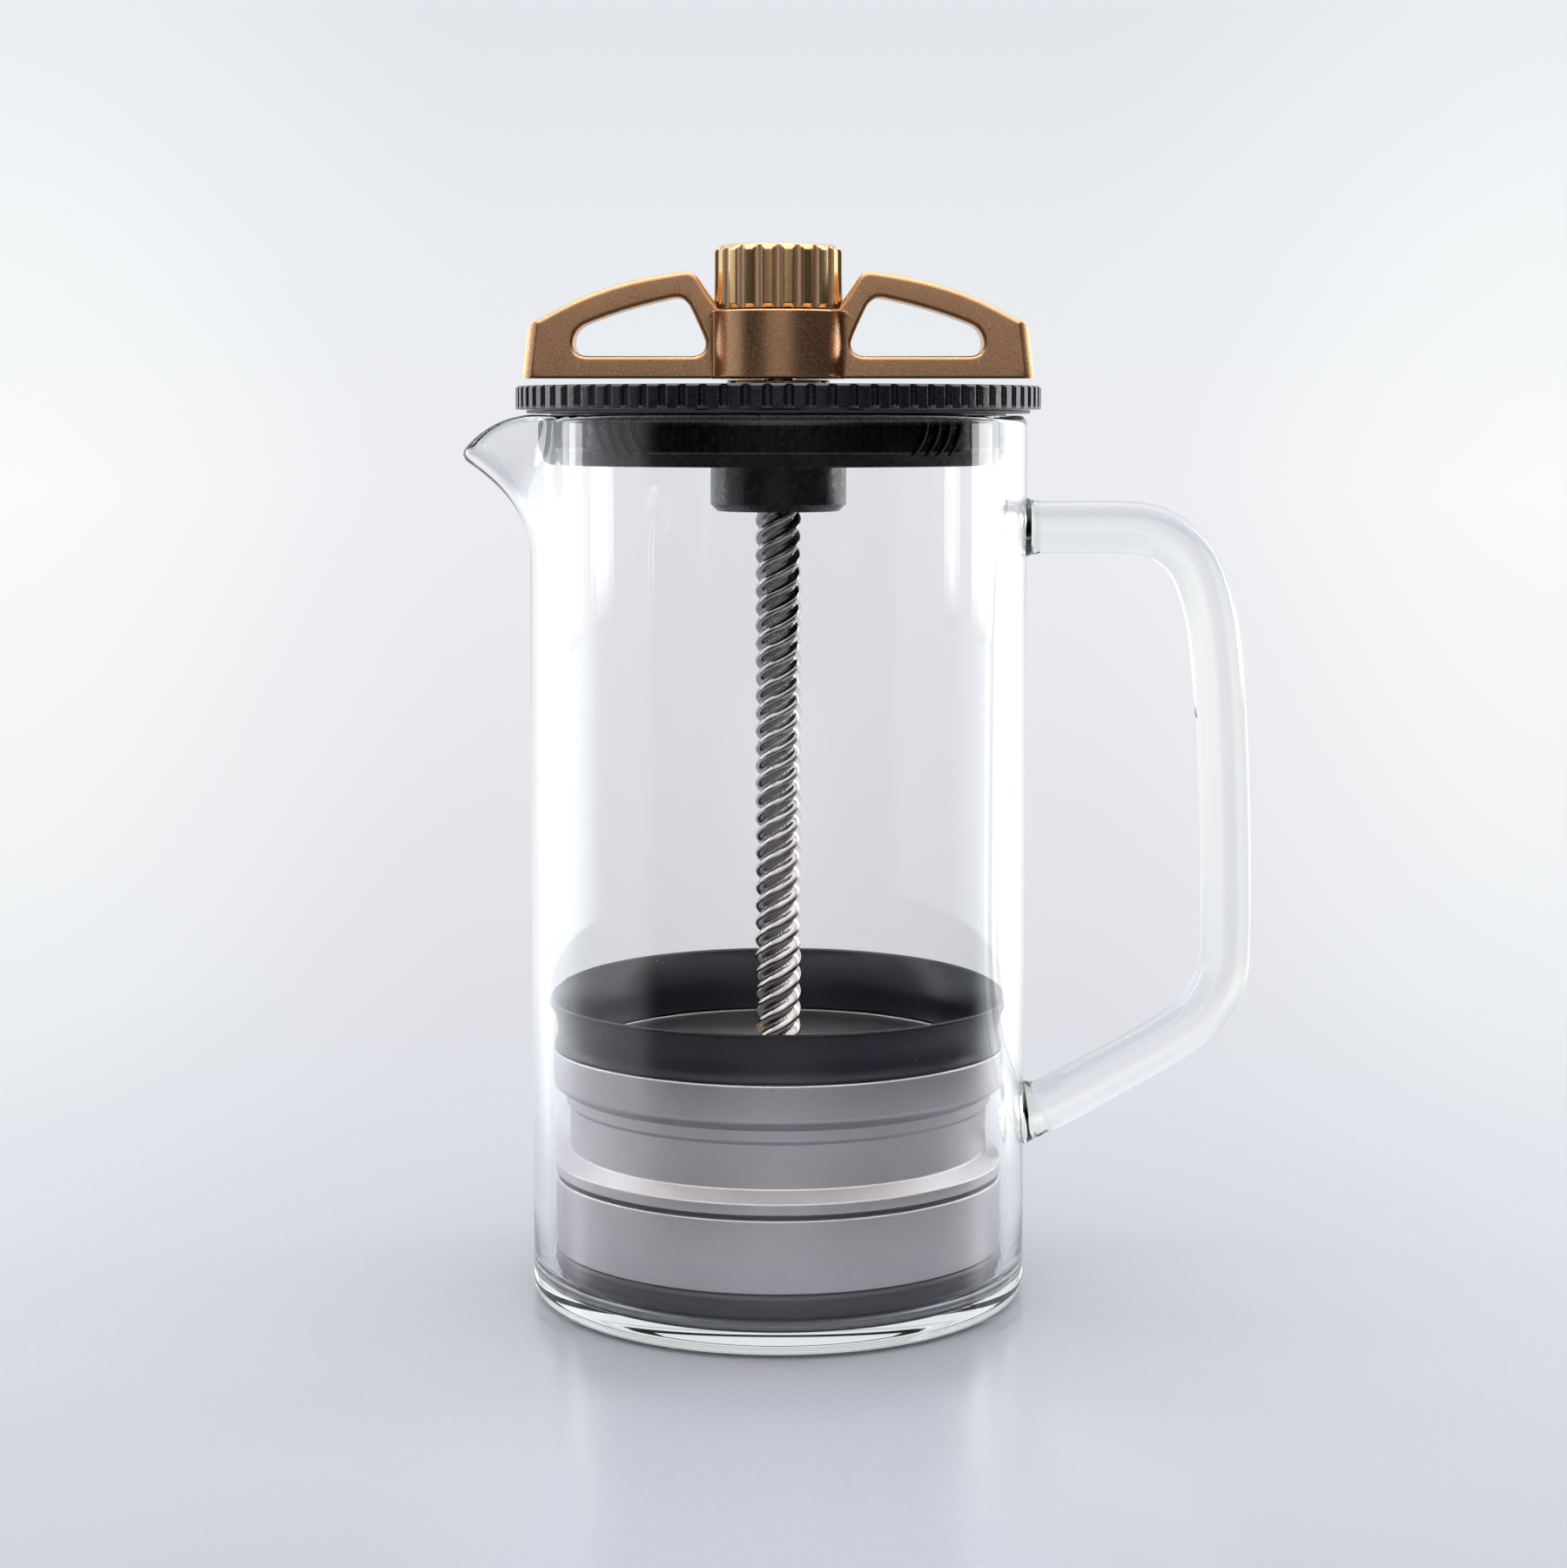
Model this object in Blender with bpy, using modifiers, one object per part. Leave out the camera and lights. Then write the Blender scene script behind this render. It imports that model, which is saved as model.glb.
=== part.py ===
"""French press with a screw-driven plunger.

A glass beaker with a glass rod handle holds a lid whose boss carries a fixed
multi-start nut. A stainless lead screw, turned by a winged handle on top,
climbs through the nut and lifts the brewing pod that hangs on its lower end.

Metres, +Z up, the beaker stands on z = 0 and its axis is the Z axis. The rod
handle is at +X and the spout at -X. Lengths below are millimetres, scaled by MM.
"""
import math

import bmesh
import bpy
from mathutils import Matrix

for old in list(bpy.data.objects):
    bpy.data.objects.remove(old, do_unlink=True)

MM = 0.001

# ---- beaker ----
GLASS_R = 45.0
GLASS_WALL = 2.9
GLASS_IN = GLASS_R - GLASS_WALL
RIM_Z = 160.0
FLOOR = 3.2
SPOUT_HALF_ANGLE = math.radians(28.0)
SPOUT_Z0 = 133.0
SPOUT_REACH = 12.8
SPOUT_DROP = 7.5
ROD_R = 5.05

# ---- lid ----
CAP_R = 47.49
CAP_Z0 = 161.1
CAP_Z1 = 165.3
CAP_GROOVES = 82
PLUG_R = 41.2
PLUG_Z0 = 151.2
BOSS_R = 12.3
BOSS_Z0 = 142.8
NUT_SCREW_PITCH_R = 15.6

# ---- screw ----
LEAD = 12.8
STARTS = 4
CREST_R = 4.2
ROOT_R = 3.15
THREAD_Z0 = 45.0
THREAD_Z1 = 165.3
THREAD_CLEARANCE = 0.65
JOURNAL_R = 2.6

# ---- handle and knob ----
HUB_R = 12.4
HUB_Z0 = 166.7
HUB_Z1 = 178.9
WING_T = 9.0
KNOB_R = 11.6
KNOB_Z1 = 190.6
KNOB_FLUTES = 20

# ---- pod ----
POD_R = 41.2
NECK_R = 38.1
CUP_R = 40.8
CHAMBER_R = 36.0

# how many flat sides a turned piece gets
N_BIG = 40
N_MID = 24
N_SMALL = 12


def make_collection(name):
    c = bpy.data.collections.new(name)
    bpy.context.scene.collection.children.link(c)
    return c


PARTS = make_collection("french_press")
CUTTERS = make_collection("cutters")


def material(name, rgb, rough, metal=0.0, transmission=0.0, ior=1.45):
    m = bpy.data.materials.new(name)
    m.use_nodes = True
    b = m.node_tree.nodes["Principled BSDF"]
    b.inputs["Base Color"].default_value = (*rgb, 1.0)
    b.inputs["Roughness"].default_value = rough
    b.inputs["Metallic"].default_value = metal
    b.inputs["Transmission Weight"].default_value = transmission
    b.inputs["IOR"].default_value = ior
    m.diffuse_color = (*rgb, 1.0)
    return m


def empty(name, z=0.0, parent=None):
    e = bpy.data.objects.new(name, None)
    e.empty_display_size = 0.02
    PARTS.objects.link(e)
    e.parent = parent
    e.location = (0.0, 0.0, z * MM)
    return e


PRESS = empty("french_press_origin")
LID_AXIS = empty("lid_axis", parent=PRESS)
PLUNGER_AXIS = empty("plunger_axis", parent=LID_AXIS)
SPINDLE_AXIS = empty("spindle_axis", parent=PLUNGER_AXIS)
CUP_AXIS = empty("cup_axis", parent=PLUNGER_AXIS)


def place(name, mesh, mat, parent):
    ob = bpy.data.objects.new(name, mesh)
    PARTS.objects.link(ob)
    ob.parent = parent
    mesh.materials.clear()
    mesh.materials.append(material(name, *mat))
    return ob


def guide(ob):
    """An operand of a Boolean: kept, drawn as wire, not part of the object."""
    for c in list(ob.users_collection):
        c.objects.unlink(ob)
    CUTTERS.objects.link(ob)
    ob.parent = None
    ob.hide_render = True
    ob.display_type = "WIRE"
    return ob


def profile_mesh(name, points, closed):
    bm = bmesh.new()
    verts = [bm.verts.new((r * MM, 0.0, z * MM)) for r, z in points]
    for a, b in zip(verts, verts[1:]):
        bm.edges.new((a, b))
    if closed:
        bm.edges.new((verts[-1], verts[0]))
    me = bpy.data.meshes.new(name)
    bm.to_mesh(me)
    bm.free()
    return me


def turned(name, points, sides, mat, parent, closed=True):
    """A profile of (radius, height), running down its outer side, spun about Z."""
    ob = place(name, profile_mesh(name, points, closed), mat, parent)
    mod = ob.modifiers.new("Turn", "SCREW")
    mod.axis = "Z"
    mod.angle = 2.0 * math.pi
    mod.screw_offset = 0.0
    mod.steps = sides
    mod.render_steps = sides
    mod.use_merge_vertices = True
    mod.merge_threshold = 0.00001
    mod.use_smooth_shade = False
    return ob


def realise(ob, weld=0.000005):
    """Turn an object with its modifiers, or a curve, into a plain welded mesh object."""
    deps = bpy.context.evaluated_depsgraph_get()
    deps.update()
    me = bpy.data.meshes.new_from_object(ob.evaluated_get(deps), depsgraph=deps)
    bm = bmesh.new()
    bm.from_mesh(me)
    bmesh.ops.remove_doubles(bm, verts=bm.verts, dist=weld)
    bmesh.ops.recalc_face_normals(bm, faces=bm.faces)
    bm.to_mesh(me)
    bm.free()
    return me


def swap_for_mesh(ob, name, mat, parent):
    me = realise(ob)
    world = ob.matrix_world.copy()
    bpy.data.objects.remove(ob, do_unlink=True)
    new = place(name, me, mat, parent)
    new.matrix_world = world
    return new


def rods(name, rows, sides=8, spin=0.0):
    """One cutter mesh of upright closed cylinders: rows of (x, y, z0, z1, radius)."""
    bm = bmesh.new()
    for x, y, z0, z1, radius in rows:
        bmesh.ops.create_cone(
            bm, cap_ends=True, segments=sides, radius1=radius * MM, radius2=radius * MM,
            depth=(z1 - z0) * MM,
            matrix=Matrix.Translation((x * MM, y * MM, (z0 + z1) / 2 * MM))
            @ Matrix.Rotation(spin + math.atan2(y, x), 4, "Z"))
    me = bpy.data.meshes.new(name)
    bm.to_mesh(me)
    bm.free()
    ob = bpy.data.objects.new(name, me)
    PARTS.objects.link(ob)
    return guide(ob)


def blocks(name, rows):
    """One cutter mesh of closed boxes: rows of (radius, angle, z0, z1, radial, across)."""
    bm = bmesh.new()
    for r, a, z0, z1, radial, across in rows:
        m = (Matrix.Rotation(a, 4, "Z") @ Matrix.Translation((r * MM, 0.0, (z0 + z1) / 2 * MM))
             @ Matrix.Diagonal((radial * MM, across * MM, (z1 - z0) * MM, 1.0)))
        bmesh.ops.create_cube(bm, size=1.0, matrix=m)
    me = bpy.data.meshes.new(name)
    bm.to_mesh(me)
    bm.free()
    ob = bpy.data.objects.new(name, me)
    PARTS.objects.link(ob)
    return guide(ob)


def boolean(ob, other, operation="DIFFERENCE"):
    mod = ob.modifiers.new(operation.title(), "BOOLEAN")
    mod.operation = operation
    mod.object = other
    mod.solver = "EXACT"
    return mod


def loft(name, rings):
    """A closed solid through rings of equal point count, each (z, [(x, y), ...])."""
    bm = bmesh.new()
    rows = [[bm.verts.new((x * MM, y * MM, z * MM)) for x, y in pts] for z, pts in rings]
    n = len(rows[0])
    for low, high in zip(rows, rows[1:]):
        for i in range(n):
            j = (i + 1) % n
            bm.faces.new((low[i], low[j], high[j], high[i]))
    bm.faces.new(list(reversed(rows[0])))
    bm.faces.new(rows[-1])
    bmesh.ops.recalc_face_normals(bm, faces=bm.faces)
    me = bpy.data.meshes.new(name)
    bm.to_mesh(me)
    bm.free()
    return me


SECTION = 16


def thread_section(z, extra=0.0):
    """The rounded multi-start section at height z, turned by its lead."""
    turn = 2.0 * math.pi * (z - 0.3) / LEAD
    mid = (CREST_R + ROOT_R) / 2 + extra
    amp = (CREST_R - ROOT_R) / 2
    pts = []
    for i in range(SECTION):
        a = 2.0 * math.pi * i / SECTION
        r = mid + amp * math.cos(STARTS * a)
        pts.append((r * math.cos(a + turn), r * math.sin(a + turn)))
    return pts


def round_section(radius, z):
    turn = 2.0 * math.pi * (z - 0.3) / LEAD
    return [(radius * math.cos(2 * math.pi * i / SECTION + turn),
             radius * math.sin(2 * math.pi * i / SECTION + turn)) for i in range(SECTION)]


def square_section(half, z):
    """A square of the given half width, sampled at the section's own angles."""
    pts = []
    turn = 2.0 * math.pi * (z - 0.3) / LEAD
    for i in range(SECTION):
        a = 2 * math.pi * i / SECTION + turn
        c, s = math.cos(a), math.sin(a)
        k = half / max(abs(c), abs(s))
        pts.append((k * c, k * s))
    return pts


def thread_rings(z0, z1, extra=0.0, per_turn=9):
    steps = max(2, int(math.ceil((z1 - z0) / LEAD * per_turn)))
    return [(z0 + (z1 - z0) * i / steps, thread_section(z0 + (z1 - z0) * i / steps, extra))
            for i in range(steps + 1)]


# colour, roughness, metallic, transmission, ior
GLASS = ((0.95, 0.97, 0.96), 0.02, 0.0, 1.0, 1.47)
BRONZE = ((0.23, 0.14, 0.08), 0.42, 1.0)
BRASS = ((0.52, 0.35, 0.14), 0.3, 1.0)
STEEL = ((0.55, 0.55, 0.55), 0.15, 1.0)
ALUMINIUM = ((0.42, 0.41, 0.42), 0.45, 1.0)
PLASTIC = ((0.018, 0.018, 0.022), 0.55)
SATIN = ((0.02, 0.021, 0.025), 0.38)
SILICONE = ((0.024, 0.028, 0.036), 0.42)

# =====================================================================
# Beaker: a turned glass cup whose rim is drawn out into a drooping spout
# =====================================================================
rim_r = GLASS_R - GLASS_WALL / 2
beaker_profile = [(0.0, FLOOR), (37.6, FLOOR), (40.0, 3.8), (41.4, 5.2), (GLASS_IN, 7.6),
                  (GLASS_IN, 70.0), (GLASS_IN, SPOUT_Z0)]
beaker_profile += [(GLASS_IN, SPOUT_Z0 + h) for h in (7.0, 12.5, 17.5, 22.0)]
beaker_profile += [(GLASS_IN, RIM_Z - 1.2), (GLASS_IN + 0.4, RIM_Z - 0.3), (rim_r, RIM_Z),
                   (GLASS_R - 0.4, RIM_Z - 0.3), (GLASS_R, RIM_Z - 1.2)]
beaker_profile += [(GLASS_R, SPOUT_Z0 + h) for h in (22.0, 17.5, 12.5, 7.0)]
beaker_profile += [(GLASS_R, SPOUT_Z0), (GLASS_R, 70.0), (GLASS_R, 5.0), (44.7, 1.6),
                   (43.8, 0.35), (42.4, 0.0), (0.0, 0.0)]
cup = turned("beaker_blank", beaker_profile, 48, GLASS, PRESS, closed=False)
beaker_body = swap_for_mesh(cup, "beaker_body", GLASS, PRESS)


def drawn_spout(x, y, z):
    """Where a point of the plain cup (mm) goes when the spout is drawn out at -X."""
    r = math.hypot(x, y)
    if r < GLASS_IN - 1.0 or z <= SPOUT_Z0:
        return x, y, z
    phi = math.atan2(y, -x)
    if abs(phi) >= SPOUT_HALF_ANGLE:
        return x, y, z
    b = math.cos(0.5 * math.pi * phi / SPOUT_HALF_ANGLE) ** 2
    s = (z - SPOUT_Z0) / (RIM_Z - SPOUT_Z0)
    reach = SPOUT_REACH * b * s ** 2.4
    drop = SPOUT_DROP * b ** 2.2 * s
    rise = (RIM_Z - SPOUT_Z0) - SPOUT_DROP * b ** 2.2
    lean = math.atan2(SPOUT_REACH * b * 2.4 * s ** 1.4, rise)
    depth = GLASS_R - r
    out = GLASS_R + reach - depth * math.cos(lean)
    up = z - drop + depth * math.sin(lean)
    return -out * math.cos(phi), out * math.sin(phi), up


for v in beaker_body.data.vertices:
    v.co = [c * MM for c in drawn_spout(*(c / MM for c in v.co))]


def smooth_path(points, spacing):
    """Points read from a Catmull-Rom curve through the given ones, evenly spaced."""
    fine = []
    ext = [points[0]] + points + [points[-1]]
    for p0, p1, p2, p3 in zip(ext, ext[1:], ext[2:], ext[3:]):
        for k in range(24):
            t = k / 24
            fine.append(tuple(0.5 * (2 * b + (c - a) * t + (2 * a - 5 * b + 4 * c - d) * t * t
                                     + (3 * b - a - 3 * c + d) * t ** 3)
                              for a, b, c, d in zip(p0, p1, p2, p3)))
    fine.append(tuple(points[-1]))
    total = sum(math.dist(a, b) for a, b in zip(fine, fine[1:]))
    count = max(2, round(total / spacing))
    out, walked, k = [fine[0]], 0.0, 0
    for i in range(1, count):
        goal = total * i / count
        while walked + math.dist(fine[k], fine[k + 1]) < goal:
            walked += math.dist(fine[k], fine[k + 1])
            k += 1
        f = (goal - walked) / math.dist(fine[k], fine[k + 1])
        out.append(tuple(a + (b - a) * f for a, b in zip(fine[k], fine[k + 1])))
    out.append(fine[-1])
    return out


# Rod handle: leaves the wall level near the rim, drops, and returns on a slant
rod_route = [(45.4, 139.8), (54.0, 139.8), (62.7, 139.8), (69.0, 138.9), (75.0, 134.3),
             (78.2, 126.4), (79.7, 118.0), (80.8, 105.0), (81.5, 90.0), (81.8, 76.9),
             (81.9, 64.0), (81.1, 56.6), (76.9, 49.8), (70.0, 44.8), (58.0, 38.1),
             (51.0, 34.3)]
path = smooth_path(rod_route, 5.2)
curve = bpy.data.curves.new("rod", "CURVE")
curve.dimensions = "3D"
curve.bevel_depth = ROD_R * MM
curve.bevel_resolution = 3
curve.resolution_u = 1
curve.render_resolution_u = 0
curve.use_fill_caps = True
curve.twist_mode = "MINIMUM"
spline = curve.splines.new("POLY")
stations = ([(45.4, path[0][1], 1.2), (46.1, path[0][1], 1.05)]
            + [(x, z, 1.0) for x, z in path[1:]]
            + [(48.7, 33.15, 1.0), (46.9, 32.5, 1.06), (45.4, 32.5, 1.24)])
spline.points.add(len(stations) - 1)
for p, (x, z, k) in zip(spline.points, stations):
    p.co = (x * MM, 0.0, z * MM, 1.0)
    p.radius = k
rod = bpy.data.objects.new("rod", curve)
PARTS.objects.link(rod)
bpy.context.view_layer.update()
beaker_handle = swap_for_mesh(rod, "beaker_handle", GLASS, PRESS)

# =====================================================================
# Lid: cap, gasket, strainer plug, nut housing, nut and its screws
# =====================================================================
turned("lid_gasket", [(45.3, 160.95), (45.6, 160.7), (45.4, 160.35), (42.6, 160.35),
                      (41.7, 160.5), (41.7, 160.95)], N_BIG, SILICONE, LID_AXIS)

lid_cap = turned("lid_cap", [(46.3, CAP_Z1), (CAP_R, 164.5), (CAP_R, CAP_Z0),
                             (4.9, CAP_Z0), (4.9, CAP_Z1)], CAP_GROOVES, PLASTIC, LID_AXIS)
groove_step = 2 * math.pi / CAP_GROOVES
boolean(lid_cap, rods("cap_groove_cutter", [
    ((CAP_R + 0.25) * math.cos(-math.pi / 2 + (i + 0.5) * groove_step),
     (CAP_R + 0.25) * math.sin(-math.pi / 2 + (i + 0.5) * groove_step), 161.75, 164.3, 0.9)
    for i in range(CAP_GROOVES)], sides=4))
screw_spots = [(NUT_SCREW_PITCH_R * math.cos(a), NUT_SCREW_PITCH_R * math.sin(a))
               for a in (math.radians(90 + 120 * i) for i in range(3))]
boolean(lid_cap, rods("cap_screw_hole_cutter",
                      [(x, y, 160.0, 164.2, 1.65) for x, y in screw_spots]))

lid_plug = turned("lid_plug", [(PLUG_R, 160.8), (PLUG_R, 154.0), (39.4, PLUG_Z0),
                               (12.8, PLUG_Z0), (12.8, 153.0), (38.9, 153.0),
                               (38.9, 160.8)], N_BIG, SATIN, LID_AXIS)
slots = []
for side in (0.0, math.pi):
    for k in range(4):
        off = math.radians(37.5 + 4.0 * k)
        slots += [(40.2, side - math.pi / 2 + off, 154.0, 159.4, 5.0, 1.5),
                  (40.2, side - math.pi / 2 - off, 154.0, 159.4, 5.0, 1.5)]
boolean(lid_plug, blocks("plug_slot_cutter", slots))

nut_housing = turned("nut_housing", [(18.8, 160.6), (18.8, 158.4), (BOSS_R, 158.4),
                                     (BOSS_R, 144.0), (11.1, BOSS_Z0), (4.9, BOSS_Z0),
                                     (4.9, 144.6), (8.0, 144.6), (8.0, 160.6)],
                     N_MID, SATIN, LID_AXIS)
boolean(nut_housing, rods("housing_screw_hole_cutter",
                          [(x, y, 157.0, 162.0, 1.65) for x, y in screw_spots]))

drive_nut = turned("drive_nut", [(7.2, 160.2), (7.6, 159.8), (7.6, 145.4), (7.2, 145.0),
                                 (2.0, 145.0), (2.0, 160.2)], 24, BRASS, LID_AXIS)
thread_cutter = bpy.data.objects.new(
    "nut_thread_cutter", loft("nut_thread_cutter", thread_rings(143.0, 162.2, THREAD_CLEARANCE)))
PARTS.objects.link(thread_cutter)
boolean(drive_nut, guide(thread_cutter))

for i, (x, y) in enumerate(screw_spots):
    s = turned(f"nut_screw_{i + 1}", [(0.0, 163.8), (1.25, 163.8), (1.25, 158.1), (2.6, 158.1),
                                      (2.6, 156.6), (2.1, 155.9), (0.0, 155.9)],
               N_SMALL, STEEL, LID_AXIS, closed=False)
    s.location = (x * MM, y * MM, 0.0)
    boolean(s, rods(f"nut_screw_socket_cutter_{i + 1}", [(x, y, 155.0, 157.2, 1.1)], sides=6))

# =====================================================================
# Spindle: lead screw, winged handle, knob, collar, end washer and screw
# =====================================================================
rings = [(41.2, round_section(JOURNAL_R, 45.0)), (THREAD_Z0, round_section(JOURNAL_R, 45.0))]
rings += thread_rings(THREAD_Z0, THREAD_Z1)
rings += [(THREAD_Z1, round_section(3.4, THREAD_Z1)), (167.0, round_section(3.4, THREAD_Z1)),
          (167.0, square_section(3.0, THREAD_Z1)), (178.6, square_section(3.0, THREAD_Z1)),
          (178.6, round_section(2.5, THREAD_Z1)), (186.2, round_section(2.5, THREAD_Z1))]
lead_screw = place("lead_screw", loft("lead_screw", rings), STEEL, SPINDLE_AXIS)
boolean(lead_screw, rods("lead_screw_end_hole_cutter", [(0.0, 0.0, 39.0, 47.0, 1.6)]))

# Winged handle: a flat bar outline with two windows, united with a round hub
wing_side = [(11.6, 166.75), (45.9, 166.75), (46.15, 167.1), (45.1, 175.4), (44.3, 176.7),
             (42.6, 177.5), (36.3, 180.9), (29.9, 183.3), (23.5, 184.9), (16.8, 185.85),
             (15.6, 185.75), (14.6, 185.1), (12.5, 182.0), (10.9, 179.9), (9.8, 178.95),
             (8.6, 178.7)]
outline = wing_side + [(-x, z) for x, z in reversed(wing_side)]
window = [(36.9, 172.6), (36.6, 174.6), (35.3, 176.2), (30.5, 178.1), (24.5, 179.9),
          (18.6, 181.2), (17.3, 181.1), (16.2, 180.2), (14.9, 177.6), (13.4, 174.2),
          (13.0, 172.9), (13.4, 171.5), (14.7, 170.7), (34.9, 170.7), (36.3, 171.3)]
WING_ROUND = 0.9
flat = bpy.data.curves.new("wing_outline", "CURVE")
flat.dimensions = "2D"
flat.fill_mode = "BOTH"
flat.extrude = (WING_T / 2 - WING_ROUND) * MM
flat.bevel_depth = WING_ROUND * MM
flat.bevel_resolution = 1
flat.offset = -WING_ROUND * MM
flat.resolution_u = 1
flat.render_resolution_u = 0
for loop in (outline, window, [(-x, z) for x, z in window]):
    sp = flat.splines.new("POLY")
    sp.points.add(len(loop) - 1)
    for p, (x, z) in zip(sp.points, loop):
        p.co = (x * MM, z * MM, 0.0, 1.0)
    sp.use_cyclic_u = True
bar = bpy.data.objects.new("wing_outline", flat)
PARTS.objects.link(bar)
bar.rotation_euler = (math.pi / 2, 0.0, 0.0)
bpy.context.view_layer.update()
wing_handle = swap_for_mesh(bar, "wing_handle", BRONZE, SPINDLE_AXIS)
hub = guide(turned("hub_blank", [(0.0, HUB_Z1), (HUB_R - 0.8, HUB_Z1), (HUB_R, HUB_Z1 - 0.8),
                                 (HUB_R, HUB_Z0 + 0.5), (HUB_R - 0.5, HUB_Z0), (0.0, HUB_Z0)],
                   40, BRONZE, None, closed=False))
boolean(wing_handle, hub, "UNION")
bore = blocks("hub_square_bore_cutter", [(0.0, 0.0, 160.0, 190.0, 6.7, 6.7)])
boolean(wing_handle, bore)
boolean(wing_handle, rods("knob_seat_cutter", [(0.0, 0.0, HUB_Z1, 195.0, KNOB_R + 0.35)], sides=40))

top_knob = turned("top_knob", [(0.0, KNOB_Z1), (10.1, KNOB_Z1), (11.2, 190.25),
                               (KNOB_R, 189.5), (KNOB_R, 180.0), (11.25, 179.75),
                               (11.25, 179.2), (2.9, 179.2), (2.9, 187.2), (0.0, 187.2)],
                  40, BRASS, SPINDLE_AXIS, closed=False)
flute_step = 2 * math.pi / KNOB_FLUTES
boolean(top_knob, rods("knob_flute_cutter", [
    ((KNOB_R + 0.5) * math.cos(-math.pi / 2 + i * flute_step),
     (KNOB_R + 0.5) * math.sin(-math.pi / 2 + i * flute_step), 180.25, 189.85, 1.05)
    for i in range(KNOB_FLUTES)], sides=6))

hub_collar = turned("hub_collar", [(9.0, 166.4), (9.4, 166.1), (9.4, 165.85), (9.1, 165.6),
                                   (4.3, 165.6), (4.3, 166.4)], N_MID, BRASS, SPINDLE_AXIS)
boolean(hub_collar, blocks("collar_slot_cutter", [
    (9.0, math.radians(a), 165.9, 167.0, 4.2, 1.8) for a in (30, 90, 150, 210, 270, 330)]))

turned("end_washer", [(7.0, 40.9), (7.0, 39.7), (1.65, 39.7), (1.65, 40.9)], N_MID, STEEL, SPINDLE_AXIS)
end_screw = turned("spindle_end_screw", [(0.0, 46.2), (1.25, 46.2), (1.25, 39.4), (4.2, 39.4),
                                         (4.2, 37.4), (3.4, 36.6), (0.0, 36.6)],
                   16, STEEL, SPINDLE_AXIS, closed=False)
boolean(end_screw, rods("end_screw_socket_cutter", [(0.0, 0.0, 36.0, 38.4, 1.7)], sides=6))

# =====================================================================
# Plunger: the part of the pod that hangs on the screw and does not turn
# =====================================================================
turned("wiper_seal", [(41.3, 55.35), (41.75, 55.0), (41.5, 54.0), (40.6, 52.0), (40.3, 50.0),
                      (40.5, 48.0), (41.0, 46.75), (39.3, 46.65), (39.3, 44.1), (38.0, 44.1),
                      (38.2, 47.5), (38.8, 50.5), (40.1, 53.8), (41.0, 55.3)],
       N_BIG, SILICONE, PLUNGER_AXIS)

top_plate = turned("top_plate", [(37.4, 43.6), (37.6, 43.4), (37.6, 42.5), (37.4, 42.3),
                                 (4.85, 42.3), (4.85, 43.6)], N_BIG, STEEL, PLUNGER_AXIS)
boolean(top_plate, rods("plate_port_cutter", [
    (10.5 * math.cos(math.radians(45 * i)), 10.5 * math.sin(math.radians(45 * i)), 41.0, 45.0, 1.5)
    for i in range(8)], sides=6))

turned("pod_upper", [(40.9, 46.4), (POD_R, 46.1), (POD_R, 40.3), (40.7, 39.2), (39.6, 38.5),
                     (38.8, 38.0), (38.8, 36.2), (NECK_R, 35.3), (NECK_R, 27.7), (40.75, 25.6),
                     (CUP_R, 24.6), (40.4, 24.0), (CHAMBER_R, 24.0), (CHAMBER_R, 42.0),
                     (37.9, 42.0), (37.9, 43.8), (39.6, 43.8), (39.6, 46.4)],
       N_BIG, ALUMINIUM, PLUNGER_AXIS)

turned("swivel_bush", [(6.6, 44.6), (6.6, 43.9), (4.55, 43.9), (4.55, 41.2), (2.95, 41.2),
                       (2.95, 44.6)], 20, BRASS, PLUNGER_AXIS)

turned("upper_filter_screen", [(35.6, 41.95), (35.6, 41.45), (7.8, 41.45), (7.8, 41.95)],
       40, STEEL, PLUNGER_AXIS)

turned("pod_joint_ring", [(40.0, 23.65), (40.25, 23.3), (40.0, 22.98), (37.4, 22.98),
                          (37.4, 23.65)], N_BIG, SILICONE, PLUNGER_AXIS)

# =====================================================================
# Cup of the pod: twists off the upper part to be filled
# =====================================================================
turned("pod_cup", [(40.5, 22.7), (CUP_R, 22.4), (CUP_R, 10.2), (38.4, 10.2), (38.4, 5.1),
                   (33.0, 5.1), (33.0, 6.5), (36.9, 6.5), (36.9, 18.6), (34.2, 20.6),
                   (34.2, 27.0), (35.6, 27.0), (35.6, 22.7)], N_BIG, ALUMINIUM, CUP_AXIS)

turned("lower_filter_screen", [(0.0, 7.2), (36.4, 7.2), (36.4, 6.8), (0.0, 6.8)], 40, STEEL,
       CUP_AXIS, closed=False)

turned("screen_retainer", [(36.4, 8.7), (36.4, 7.5), (33.4, 7.5), (33.4, 8.3), (33.8, 8.7)],
       40, STEEL, CUP_AXIS)

turned("base_seal", [(40.5, 9.9), (41.05, 9.3), (41.2, 8.1), (40.7, 6.1), (39.6, 4.4),
                     (38.0, 3.55), (34.2, 3.55), (34.2, 4.75), (38.75, 4.75), (38.75, 9.9)],
       N_BIG, SILICONE, CUP_AXIS)

for ob in PARTS.objects:
    if ob.type == "MESH":
        ob.data.shade_smooth()
        ob.data.set_sharp_from_angle(angle=math.radians(35))
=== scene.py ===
"""The looks of the screw-driven French press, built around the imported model.

Lengths in the helpers are millimetres in the model's own frame; MM turns them into metres.
"""

import math

import bmesh
import bpy
import numpy as np
from mathutils import Matrix, Vector
from mathutils.geometry import delaunay_2d_cdt


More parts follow.
